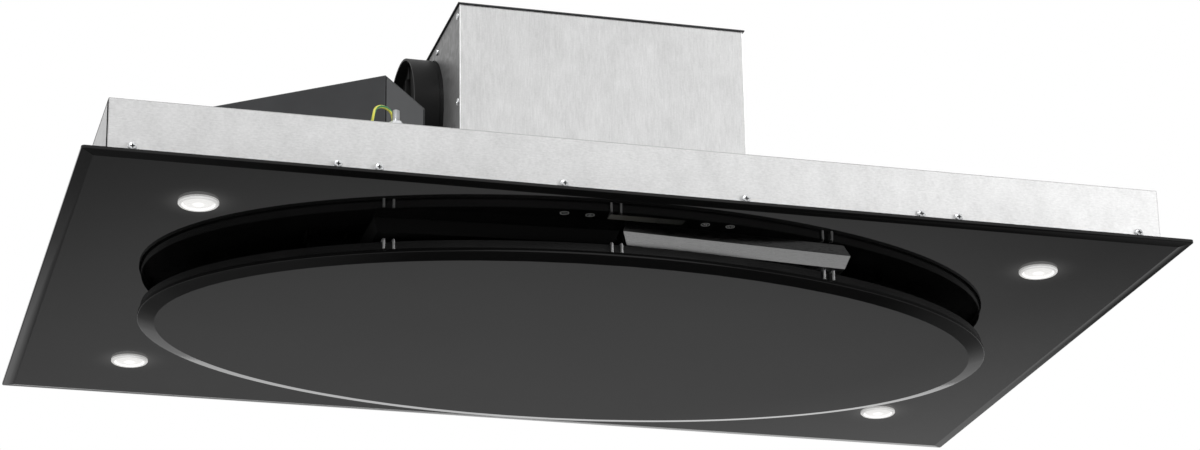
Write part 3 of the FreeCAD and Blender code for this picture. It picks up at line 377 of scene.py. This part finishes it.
# pieces that only the scene has
sealFoam = grainedPlastic("sealFoam", grey(0.004), 0.9, 0.05, gloss=0.0)
keyPrint = grainedPlastic("keyPrint", (0.52, 0.53, 0.52), 0.4, 0.005)
displayTint = displayGlass()

nodeFinish = {node: finishes[slot] for node, slot in slotOf.items()}
nodeFinish.update(ownFinishes)
for node, finish in nodeFinish.items():
    slots = cadNodes[node].data.materials
    slots.clear()
    slots.append(finish)
print("finishes:", len(finishes), "by slot,", len(ownFinishes), "nodes with their own")


# Pieces from meshes

def finishPiece(name, shape, nodes=(), slot=None, body=None, finish=None, smoothAngle=40):
    bmesh.ops.recalc_face_normals(shape, faces=shape.faces)
    mesh = bpy.data.meshes.new(name)
    shape.to_mesh(mesh)
    shape.free()
    slot = slot or slotOf[nodes[0]]
    mesh.materials.append(finish or (nodeFinish[nodes[0]] if nodes else finishes[slot]))
    mesh.polygons.foreach_set("use_smooth", [True] * len(mesh.polygons))
    if smoothAngle:
        mesh.set_sharp_from_angle(angle=math.radians(smoothAngle))
    piece = bpy.data.objects.new(name, mesh)
    bpy.context.scene.collection.objects.link(piece)
    weighted = piece.modifiers.new("weightedNormals", "WEIGHTED_NORMAL")
    weighted.keep_sharp = True
    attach(piece, body or bodyOf[nodes[0]])
    if nodes:
        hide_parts(*nodes)
    return piece


def angleOver(edge, least, most=180):
    return len(edge.link_faces) == 2 and math.radians(least) < edge.calc_face_angle() <= math.radians(most)


def bevelled(shape, edges, width, segments):
    bmesh.ops.bevel(shape, geom=edges, offset=width, offset_type="OFFSET", segments=segments, profile=0.5,
                    affect="EDGES", material=-1, clamp_overlap=False)


def strip(shape, place, size):
    made = bmesh.ops.create_cube(shape, size=1)["verts"]
    bmesh.ops.transform(shape, matrix=place @ Matrix.Diagonal((*size, 1)), verts=made)


# Softened copies of CAD nodes, edge widths in mm
edging = {"weld": 0.002 * mm, "flat": 0.4, "facet": 6.5, "sharp": 32, "corner": 60}    # angles in degrees
edgeWidths = {
    "body_shell": 0.25, "end_wall_left": 0.25, "end_wall_right": 0.25, "motor_box_wrap": 0.25,
    "motor_box_lid": 0.2, "plate_tray": 0.2, "duct_collar": 0.3, "control_box_base": 0.3, "control_box_lid": 0.3,
    "filter_pan_left": 0.2, "filter_pan_right": 0.2, "earth_nuts": 0.3, "earth_lug": 0.15, "lamp_bezels": 0.2,
    "cable_gland": 0.3, "filter_latch_left": 0.25, "filter_latch_right": 0.25, "hinge_arms": 0.25,
    "hinge_ears": 0.25, "catch_magnets": 0.4, "strike_plates": 0.2, "intake_frame": 0.2,
}
glassWidths = {"glass_panel": 0.35, "plate_glass": 0.35}
boxWidths = {"motor_box_left": 0.25, "motor_box_right": 0.25}
boxCorners = {"x": 123.9 * mm, "y": 119.4 * mm, "width": 0.9 * mm}


def softEdged(node, width, creased=False, corners=None):
    # a merged copy of the node; creases keep the flat facets of bevelled glass apart
    shape = bmesh.new()
    shape.from_mesh(cadNodes[node].data)
    bmesh.ops.remove_doubles(shape, verts=shape.verts, dist=edging["weld"])
    bmesh.ops.dissolve_limit(shape, angle_limit=math.radians(edging["flat"]), verts=shape.verts, edges=shape.edges)
    if corners:
        chosen = [e for e in shape.edges if angleOver(e, edging["corner"]) and all(
            abs(v.co.x) > corners["x"] and abs(v.co.y) > corners["y"] for v in e.verts)]
        bevelled(shape, chosen, corners["width"], 4)
    if creased:
        for edge in shape.edges:
            edge.smooth = not angleOver(edge, edging["facet"], edging["sharp"])
    bevelled(shape, [e for e in shape.edges if angleOver(e, edging["sharp"])], width * mm, 2)
    finishPiece(node.title().replace("_", ""), shape, [node], smoothAngle=0 if creased else 40)


for node, width in edgeWidths.items():
    softEdged(node, width)
for node, width in glassWidths.items():
    softEdged(node, width, creased=True)
for node, width in boxWidths.items():
    softEdged(node, width, corners=boxCorners)
print("soft edges:", len(edgeWidths) + len(glassWidths) + len(boxWidths))


# Fasteners, made at the origin along Z and set on their sheets

def setOn(shape, first, place, outward):
    shape.verts.ensure_lookup_table()
    turn = Vector(outward).to_track_quat("Z", "Y").to_matrix().to_4x4()
    bmesh.ops.transform(shape, matrix=Matrix.Translation(place) @ turn, verts=shape.verts[first:])


def ringOf(shape, radius, height, segments=20):
    made = bmesh.ops.create_circle(shape, segments=segments, radius=radius)["verts"]
    bmesh.ops.translate(shape, verts=made, vec=(0, 0, height))
    return list({edge for vert in made for edge in vert.link_edges})


def crossScrew(shape, place, outward, screw):
    crown = ((1.0, 0.0), (1.0, 0.35), (0.9, 0.72), (0.66, 1.0))    # parts of the head's radius and height
    recess = {"width": 0.13, "reach": 0.50, "slope": 0.4, "depth": 0.45}
    first = len(shape.verts)
    head, height, shank = screw["head"], screw["height"], screw["shank"]
    levels = [(shank, -screw["length"]), (shank, 0)] + [(head * r, height * h) for r, h in crown]
    rings = [ringOf(shape, *level) for level in levels]
    for lower, upper in zip(rings, rings[1:]):
        bmesh.ops.bridge_loops(shape, edges=lower + upper)
    bmesh.ops.edgeloop_fill(shape, edges=rings[0])
    # cross recess: a plus-shaped loop joined to the crown and sunk
    w, a = head * recess["width"], head * recess["reach"]
    outline = [(a, -w), (a, w), (w, w), (w, a), (-w, a), (-w, w), (-a, w), (-a, -w), (-w, -w), (-w, -a), (w, -a),
               (w, -w)]
    corners = [shape.verts.new((x, y, height)) for x, y in outline]
    pit = shape.faces.new(corners)
    bmesh.ops.bridge_loops(shape, edges=rings[-1] + list(pit.edges))
    bmesh.ops.inset_region(shape, faces=[pit], thickness=w * recess["slope"], depth=-height * recess["depth"])
    setOn(shape, first, place, outward)


def turned(shape, place, outward, profile, steps=24):
    first = len(shape.verts)
    points = [shape.verts.new((radius, 0, height)) for radius, height in profile]
    lines = [shape.edges.new(pair) for pair in zip(points, points[1:])]
    bmesh.ops.spin(shape, geom=points + lines, cent=(0, 0, 0), axis=(0, 0, 1), dvec=(0, 0, 0),
                   angle=2 * math.pi, steps=steps, use_merge=True)
    setOn(shape, first, place, outward)


def closed(shape):
    bmesh.ops.remove_doubles(shape, verts=shape.verts, dist=0.001 * mm)
    return shape


def wallScrews():
    screw = {"head": 3.4 * mm, "height": 2.0 * mm, "shank": 1.6 * mm, "length": 5 * mm, "x": 429 * mm,
             "y": 262 * mm, "z": -39 * mm, "insets": (19, 176, 208, 355), "endPlaces": (-180, 0, 180)}
    shape = bmesh.new()
    for inset in screw["insets"]:
        for side in (-1, 1):
            for wall in (-1, 1):
                place = (side * (screw["x"] - inset * mm), wall * screw["y"], screw["z"])
                crossScrew(shape, place, (0, wall, 0), screw)
    for side in (-1, 1):
        for y in screw["endPlaces"]:
            crossScrew(shape, (side * screw["x"], y * mm, screw["z"]), (side, 0, 0), screw)
    finishPiece("wallScrews", closed(shape), ["wall_screws"])


def collarScrews():
    screw = {"head": 2.6 * mm, "height": 1.2 * mm, "shank": 1.3 * mm, "length": 3 * mm, "y": (-36.5, 36.5),
             "z": (50.5, 165.5)}
    shape = bmesh.new()
    for y in screw["y"]:
        for z in screw["z"]:
            crossScrew(shape, (-motorBoxSide, y * mm, z * mm), (-1, 0, 0), screw)
    finishPiece("collarScrews", closed(shape), ["collar_screws"])


def lidScrews():
    screw = {"head": 3.2 * mm, "height": 1.2 * mm, "shank": 1.6 * mm, "length": 5 * mm, "along": (8, 172),
             "across": (-8, -67)}
    shape = bmesh.new()
    for along in screw["along"]:
        for across in screw["across"]:
            place = controlBoxPlace @ Vector((along * mm, across * mm, controlBox["height"]))
            crossScrew(shape, place, (0, 0, 1), screw)
    finishPiece("lidScrews", closed(shape), ["control_box_screws"])


def blindRivets():
    rivet = {"head": 3.2 * mm, "height": 1.2 * mm, "shank": 1.6 * mm, "length": 2 * mm, "y": (-113, 113),
             "z": (15, 87.5, 165)}
    # from the pulled mandrel's hole out over the head, in parts of its radius and height
    crown = ((0.0, 0.35), (0.26, 0.35), (0.30, 0.92), (0.46, 1.0), (0.74, 0.84), (0.94, 0.42), (1.0, 0.0))
    profile = [(rivet["head"] * r, rivet["height"] * h) for r, h in crown]
    profile += [(rivet["shank"], 0), (rivet["shank"], -rivet["length"]), (0, -rivet["length"])]
    shape = bmesh.new()
    for side in (-1, 1):
        for y in rivet["y"]:
            for z in rivet["z"]:
                turned(shape, (side * motorBoxSide, y * mm, z * mm), (side, 0, 0), profile)
    finishPiece("blindRivets", closed(shape), ["box_rivets"])


def threadedStud():
    stud = {"place": (-203 * mm, -238 * mm, 0), "root": 2.55 * mm, "crest": 3.0 * mm, "low": -7 * mm,
            "high": 20 * mm, "pitch": 1.0 * mm}
    profile = [(0, stud["low"])]
    turns = round((stud["high"] - stud["low"]) / stud["pitch"])
    for turn in range(turns):
        height = stud["low"] + turn * stud["pitch"]
        profile += [(stud["root"], height), (stud["crest"], height + stud["pitch"] / 2)]
    profile += [(stud["root"], stud["high"]), (0, stud["high"])]
    shape = bmesh.new()
    turned(shape, stud["place"], (0, 0, 1), profile)
    finishPiece("threadedStud", closed(shape), ["earth_stud"], smoothAngle=70)


wallScrews()
collarScrews()
lidScrews()
blindRivets()
threadedStud()
print("fasteners ready")


# Lamps and touch field

def domedLenses():
    lens = {"height": 2.6 * mm, "steps": 40}
    # radius in mm and part of the height: a dome with two fine grooves
    dome = ((0, 1.0), (3.6, 0.985), (6.4, 0.94), (6.8, 0.84), (7.2, 0.90), (9.6, 0.80), (10.0, 0.70), (10.4, 0.74),
            (12.1, 0.58))
    profile = [(radius * mm, lens["height"] * part) for radius, part in dome]
    profile += [(lensRadius, lens["height"] * 0.35), (lensRadius, 0), (0, 0)]
    shape = bmesh.new()
    for place in lampPlaces:
        turned(shape, place, (0, 0, -1), profile, lens["steps"])
    finishPiece("domedLenses", closed(shape), ["lamp_lenses"])


def flatBar(shape, x, y, width, depth, turn=0.0):
    place = Matrix.Translation((x, y, panelUnder - printThickness / 2)) @ Matrix.Rotation(turn, 4, "Z")
    strip(shape, place, (width, depth, printThickness))


def flatArc(shape, x, y, outer, inner, start=0.0, share=1.0):
    # thin band round a centre, on the glass, with its ends closed where it is open
    first = len(shape.verts)
    corners = [(inner, 0), (outer, 0), (outer, -printThickness), (inner, -printThickness)]
    points = [shape.verts.new((radius * math.cos(start), radius * math.sin(start), height))
              for radius, height in corners]
    lines = [shape.edges.new((points[i - 1], points[i])) for i in range(4)]
    if share < 1:
        bmesh.ops.contextual_create(shape, geom=points)
    made = bmesh.ops.spin(shape, geom=points + lines, cent=(0, 0, 0), axis=(0, 0, 1), dvec=(0, 0, 0),
                          angle=2 * math.pi * share, steps=24, use_merge=share == 1)
    if share < 1:
        last = [item for item in made["geom_last"] if isinstance(item, bmesh.types.BMVert)]
        bmesh.ops.contextual_create(shape, geom=last)
    shape.verts.ensure_lookup_table()
    bmesh.ops.translate(shape, verts=shape.verts[first:], vec=(x, y, panelUnder))


def touchKeys():
    key = {"places": (-66.8, -46.0, 48.8, 69.4), "ring": 3.6 * mm, "line": 0.6 * mm, "bar": 3.4 * mm}
    sun = {"outer": 1.3 * mm, "inner": 0.7 * mm, "rays": 4, "reach": 2.0 * mm, "ray": (0.9 * mm, 0.4 * mm)}
    power = {"outer": 2.0 * mm, "inner": 1.5 * mm, "start": math.radians(125), "share": 0.8, "stem": 1.8 * mm,
             "line": 0.5 * mm}
    y, line = touchLine, key["line"]
    minusX, plusX, sunX, powerX = [x * mm for x in key["places"]]
    shape = bmesh.new()
    for x in (minusX, plusX, sunX, powerX):
        flatArc(shape, x, y, key["ring"], key["ring"] - line)
    flatBar(shape, minusX, y, key["bar"], line)
    flatBar(shape, plusX, y, key["bar"], line)
    flatBar(shape, plusX, y, line, key["bar"])
    flatArc(shape, sunX, y, sun["outer"], sun["inner"])
    for ray in range(sun["rays"]):
        turn = math.radians(45 + 90 * ray)
        flatBar(shape, sunX + sun["reach"] * math.cos(turn), y + sun["reach"] * math.sin(turn), *sun["ray"], turn)
    flatArc(shape, powerX, y, power["outer"], power["inner"], power["start"], power["share"])
    flatBar(shape, powerX, y + power["inner"], power["line"], power["stem"])
    finishPiece("touchKeys", shape, slot="capacitor_white", body="hood", finish=keyPrint)


def displayWindow():
    window = {"depth": 10 * mm, "corner": 1.5 * mm}
    shape = bmesh.new()
    flatBar(shape, 0, touchLine, 2 * displayHalf, window["depth"])
    upright = [e for e in shape.edges if abs(e.verts[0].co.z - e.verts[1].co.z) > printThickness / 2]
    bevelled(shape, upright, window["corner"], 4)
    finishPiece("displayWindow", shape, slot="black_glass", body="hood", finish=displayTint)


domedLenses()
touchKeys()
displayWindow()
print("lamps and touch field ready")


# Earth lead: a striped tube near the CAD route, with its loop where the photograph shows it

def routePoints(corners):
    curve = bpy.data.curves.new("leadRoute", "CURVE")
    curve.dimensions = "3D"
    curve.resolution_u = 8
    spline = curve.splines.new("NURBS")
    spline.points.add(len(corners) - 1)
    for point, corner in zip(spline.points, corners):
        point.co = (*corner, 1)
    spline.order_u = 3
    spline.use_endpoint_u = True
    holder = bpy.data.objects.new("leadRoute", curve)
    mesh = bpy.data.meshes.new_from_object(holder)
    points = [vert.co.copy() for vert in mesh.vertices]
    bpy.data.objects.remove(holder)
    bpy.data.curves.remove(curve)
    bpy.data.meshes.remove(mesh)
    return points


def earthLead():
    lead = {
        "radius": 1.25 * mm, "length": 67.7 * mm, "sides": 16, "twist": 0.12,
        "barrel": (-203, -229.3, 0),    # the terminal's barrel, then the loop's points from there, in mm
        "loop": ((0, 0, 5.5), (0, 0, 14.9), (-1.7, -0.3, 22.8), (-9.0, -1.5, 26.3), (-15.9, -5.4, 22.7),
                 (-17.7, -5.5, 13.1), (-18.7, 0.6, 6.4)),
        "grommet": ((12, 8, 8), (12, -1, 8)),    # along, out of and above the electronics box's corner
    }
    corners = [(Vector(lead["barrel"]) + Vector(point)) * mm for point in lead["loop"]]
    corners += [controlBoxPlace @ (Vector(point) * mm) for point in lead["grommet"]]
    route = routePoints(corners)
    shape = bmesh.new()
    layer = shape.verts.layers.float.new("turn")
    rings = []
    facing = Vector((1, 0, 0))
    for index, point in enumerate(route):
        ahead = (route[min(index + 1, len(route) - 1)] - route[max(index - 1, 0)]).normalized()
        facing = (facing - ahead * facing.dot(ahead)).normalized()
        aside = ahead.cross(facing)
        made = bmesh.ops.create_circle(shape, segments=lead["sides"], radius=lead["radius"])["verts"]
        for vert in made:
            vert[layer] = 0.5 + 0.5 * math.cos(2 * math.atan2(vert.co.y, vert.co.x) + lead["twist"] * index)
            vert.co = point + facing * vert.co.x + aside * vert.co.y
        rings.append(list({edge for vert in made for edge in vert.link_edges}))
    for lower, upper in zip(rings, rings[1:]):
        bmesh.ops.bridge_loops(shape, edges=lower + upper)
    for end in (rings[0], rings[-1]):
        bmesh.ops.edgeloop_fill(shape, edges=end)
    piece = finishPiece("earthLead", shape, ["earth_lead"])


earthLead()
print("earth lead ready")


# Black seals in the body's open corner seams and at the electronics box's end joints

def cornerSeals():
    seal = {"x": 428.75 * mm, "y": 258.6 * mm, "z": -24.6 * mm, "size": (0.9 * mm, 5.4 * mm, 46.6 * mm)}
    shape = bmesh.new()
    for side in (-1, 1):
        for wall in (-1, 1):
            strip(shape, Matrix.Translation((side * seal["x"], wall * seal["y"], seal["z"])), seal["size"])
    finishPiece("cornerSeals", shape, slot="rubber", body="hood", finish=sealFoam)


def boxSeams():
    seam = {"size": (0.5 * mm, 1.6 * mm, 55.5 * mm), "inset": 1.8 * mm, "proud": 0.06 * mm, "z": 28.8 * mm}
    depth = seam["size"][0] / 2 - seam["proud"]
    shape = bmesh.new()
    for x in (depth, controlBox["length"] - depth):
        for y in (-seam["inset"], seam["inset"] - controlBox["width"]):
            strip(shape, controlBoxPlace @ Matrix.Translation((x, y, seam["z"])), seam["size"])
    finishPiece("boxSeams", shape, slot="rubber", body="hood", finish=sealFoam)


cornerSeals()
boxSeams()
print("seals ready")


# Fine wire cloth inside each filter's frame

def wireCloth(side):
    cloth = {"columns": 36, "rows": 64, "rim": 3 * mm, "wire": 0.7 * mm}
    node = "filter_mesh_" + side
    low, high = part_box(node)
    size = (high.x - low.x - 2 * cloth["rim"], high.y - low.y - 2 * cloth["rim"], 1)
    shape = bmesh.new()
    bmesh.ops.create_grid(shape, x_segments=cloth["columns"], y_segments=cloth["rows"], size=0.5)
    bmesh.ops.transform(shape, verts=shape.verts,
                        matrix=Matrix.Translation((low + high) / 2) @ Matrix.Diagonal((*size, 1)))
    piece = finishPiece("wireCloth" + side.title(), shape, slot="filter_mesh", body=bodyOf[node])
    wires = piece.modifiers.new("wires", "WIREFRAME")
    wires.thickness = cloth["wire"]
    wires.use_boundary = True


for side in ("left", "right"):
    wireCloth(side)
print("filter cloth ready")


# Studio: camera at the photograph's angle, pale floor, soft light

camera = {
    "place": (-0.6948, -2.5506, -0.9872), "right": (0.9638, -0.2661, -0.0177),
    "up": (-0.0797, -0.3509, 0.9330), "lens": 98.57, "sensor": 36.0, "near": 0.05, "far": 120,
}
floor = {
    "height": -1.6, "half": 45.0, "level": 0.86, "fadeStart": 22.0, "fadeEnd": 44.0, "pale": 0.7, "glow": 0.42,
    # painted shade in reflections: the floor's glow is less round this place
    "shade": (0.6, 3.4, -1.6), "shadeStart": 1.6, "shadeEnd": 3.6,
    # painted shadow: the floor is darker round this place, behind the object
    "core": (0.7, 1.45, -1.6), "coreStart": 0.6, "coreEnd": 1.7, "coreShare": 0.75, "coreLevel": 0.05,
}
lamps = {
    "key": {"kind": "AREA", "place": (-1.3, -2.65, 2.7), "aim": (0, 0, 0), "size": 0.45, "power": 86},
    "rightSpot": {"kind": "SPOT", "place": (1.45, -1.05, 0.15), "aim": (0.05, 0.05, 0.04), "size": 0.3,
                  "power": 152, "cone": 56},
    "leftSpot": {"kind": "SPOT", "place": (-3.0, -0.9, 0.4), "aim": (0, 0, 0.04), "size": 0.4, "power": 86,
                 "cone": 34},
    "floorPool": {"kind": "SPOT", "place": (1.2, 5.0, 3.4), "aim": (1.2, 5.0, -1.6), "size": 0.5, "power": 265,
                  "cone": 46},
    "backSpot": {"kind": "SPOT", "place": (1.6, 3.4, 2.2), "aim": (0, 0, 0.05), "size": 0.7, "power": 170,
                 "cone": 30},
}
coneBlend = 0.6
world = {"soft": 0.055, "white": 1.0}


def placeCamera():
    data = bpy.data.cameras.new("camera")
    data.lens = camera["lens"]
    data.sensor_width = camera["sensor"]
    data.clip_start = camera["near"]
    data.clip_end = camera["far"]
    right = Vector(camera["right"]).normalized()
    back = right.cross(Vector(camera["up"])).normalized()
    up = back.cross(right)
    turn = Matrix((right, up, back)).transposed().to_4x4()
    viewer = bpy.data.objects.new("camera", data)
    viewer.matrix_world = Matrix.Translation(camera["place"]) @ turn
    bpy.context.scene.collection.objects.link(viewer)
    bpy.context.scene.camera = viewer


def floorMaterial():
    material = newMaterial("paleFloor", {"Roughness": 0.9, "Specular IOR Level": 0.1,
                                         "Emission Color": (1, 1, 1, 1)})
    point = objectPoint(material)
    base = greyRamp(material, noise(material, 3.0), floor["level"], floor["level"] * 1.03)
    # painted shadow on the floor behind the object, where the key's shadow falls
    fromCore = distanceFrom(material, point, floor["core"])
    dim = ranged(material, fromCore, floor["coreShare"], 0.0, floor["coreStart"], floor["coreEnd"])
    shade(material, Base_Color=mixed(material, dim, base, opaque(grey(floor["coreLevel"]))))
    # pale to the eye, and in reflections painted darker round the shadow, a painted shade
    rays = addNode(material, "LightPath").outputs
    seen = calculated(material, "MULTIPLY", rays["Is Camera Ray"], floor["pale"])
    fromShade = distanceFrom(material, point, floor["shade"])
    glow = ranged(material, fromShade, 0.0, floor["glow"], floor["shadeStart"], floor["shadeEnd"])
    glow = calculated(material, "MULTIPLY", glow, calculated(material, "SUBTRACT", 1.0, dim))
    mirrored = calculated(material, "MAXIMUM", rays["Is Glossy Ray"], rays["Is Transmission Ray"])
    mirrored = calculated(material, "MULTIPLY", mirrored, glow)
    shade(material, Emission_Strength=calculated(material, "MAXIMUM", seen, mirrored))
    # open from under, so that low views aren't blocked, and fading into the white far away
    facing = addNode(material, "NewGeometry").outputs["Backfacing"]
    fade = ranged(material, distanceFrom(material, point, (0, 0, 0)), 0.0, 1.0, floor["fadeStart"], floor["fadeEnd"])
    join = addNode(material, "MixShader", Fac=calculated(material, "MAXIMUM", facing, fade))
    tree = material.node_tree
    tree.links.new(tree.nodes["Principled BSDF"].outputs[0], join.inputs[1])
    tree.links.new(addNode(material, "BsdfTransparent").outputs[0], join.inputs[2])
    tree.links.new(join.outputs[0], tree.nodes["Material Output"].inputs["Surface"])
    return material


def layFloor():
    shape = bmesh.new()
    bmesh.ops.create_grid(shape, x_segments=1, y_segments=1, size=floor["half"])
    bmesh.ops.translate(shape, verts=shape.verts, vec=(0, 0, floor["height"]))
    mesh = bpy.data.meshes.new("floor")
    shape.to_mesh(mesh)
    shape.free()
    mesh.materials.append(floorMaterial())
    plane = bpy.data.objects.new("floor", mesh)
    bpy.context.scene.collection.objects.link(plane)


def hangLamps():
    for name, lamp in lamps.items():
        data = bpy.data.lights.new(name, lamp["kind"])
        if lamp["kind"] == "AREA":
            data.size = lamp["size"]
        else:
            data.shadow_soft_size = lamp["size"]
            data.spot_size = math.radians(lamp["cone"])
            data.spot_blend = coneBlend
        data.energy = lamp["power"]
        light = bpy.data.objects.new(name, data)
        light.location = lamp["place"]
        aim = Vector(lamp["aim"]) - Vector(lamp["place"])
        light.rotation_euler = aim.to_track_quat("-Z", "Y").to_euler()
        light.visible_camera = False
        light.visible_glossy = lamp["kind"] == "AREA"
        bpy.context.scene.collection.objects.link(light)


def whiteWorld():
    studio = bpy.data.worlds.new("studio")
    bpy.context.scene.world = studio
    studio.use_nodes = True
    tree = studio.node_tree
    tree.nodes.clear()
    rays = addNode(studio, "LightPath").outputs
    seen = calculated(studio, "MAXIMUM", rays["Is Camera Ray"], rays["Is Glossy Ray"])
    seen = calculated(studio, "MAXIMUM", seen, rays["Is Transmission Ray"])
    soft = addNode(studio, "Background", Color=(1, 1, 1, 1), Strength=world["soft"])
    white = addNode(studio, "Background", Color=(1, 1, 1, 1), Strength=world["white"])
    join = addNode(studio, "MixShader", Fac=seen)
    tree.links.new(soft.outputs[0], join.inputs[1])
    tree.links.new(white.outputs[0], join.inputs[2])
    out = addNode(studio, "OutputWorld")
    tree.links.new(join.outputs[0], out.inputs["Surface"])


placeCamera()
layFloor()
hangLamps()
whiteWorld()
bpy.context.scene.view_settings.view_transform = "Standard"
print("studio ready")
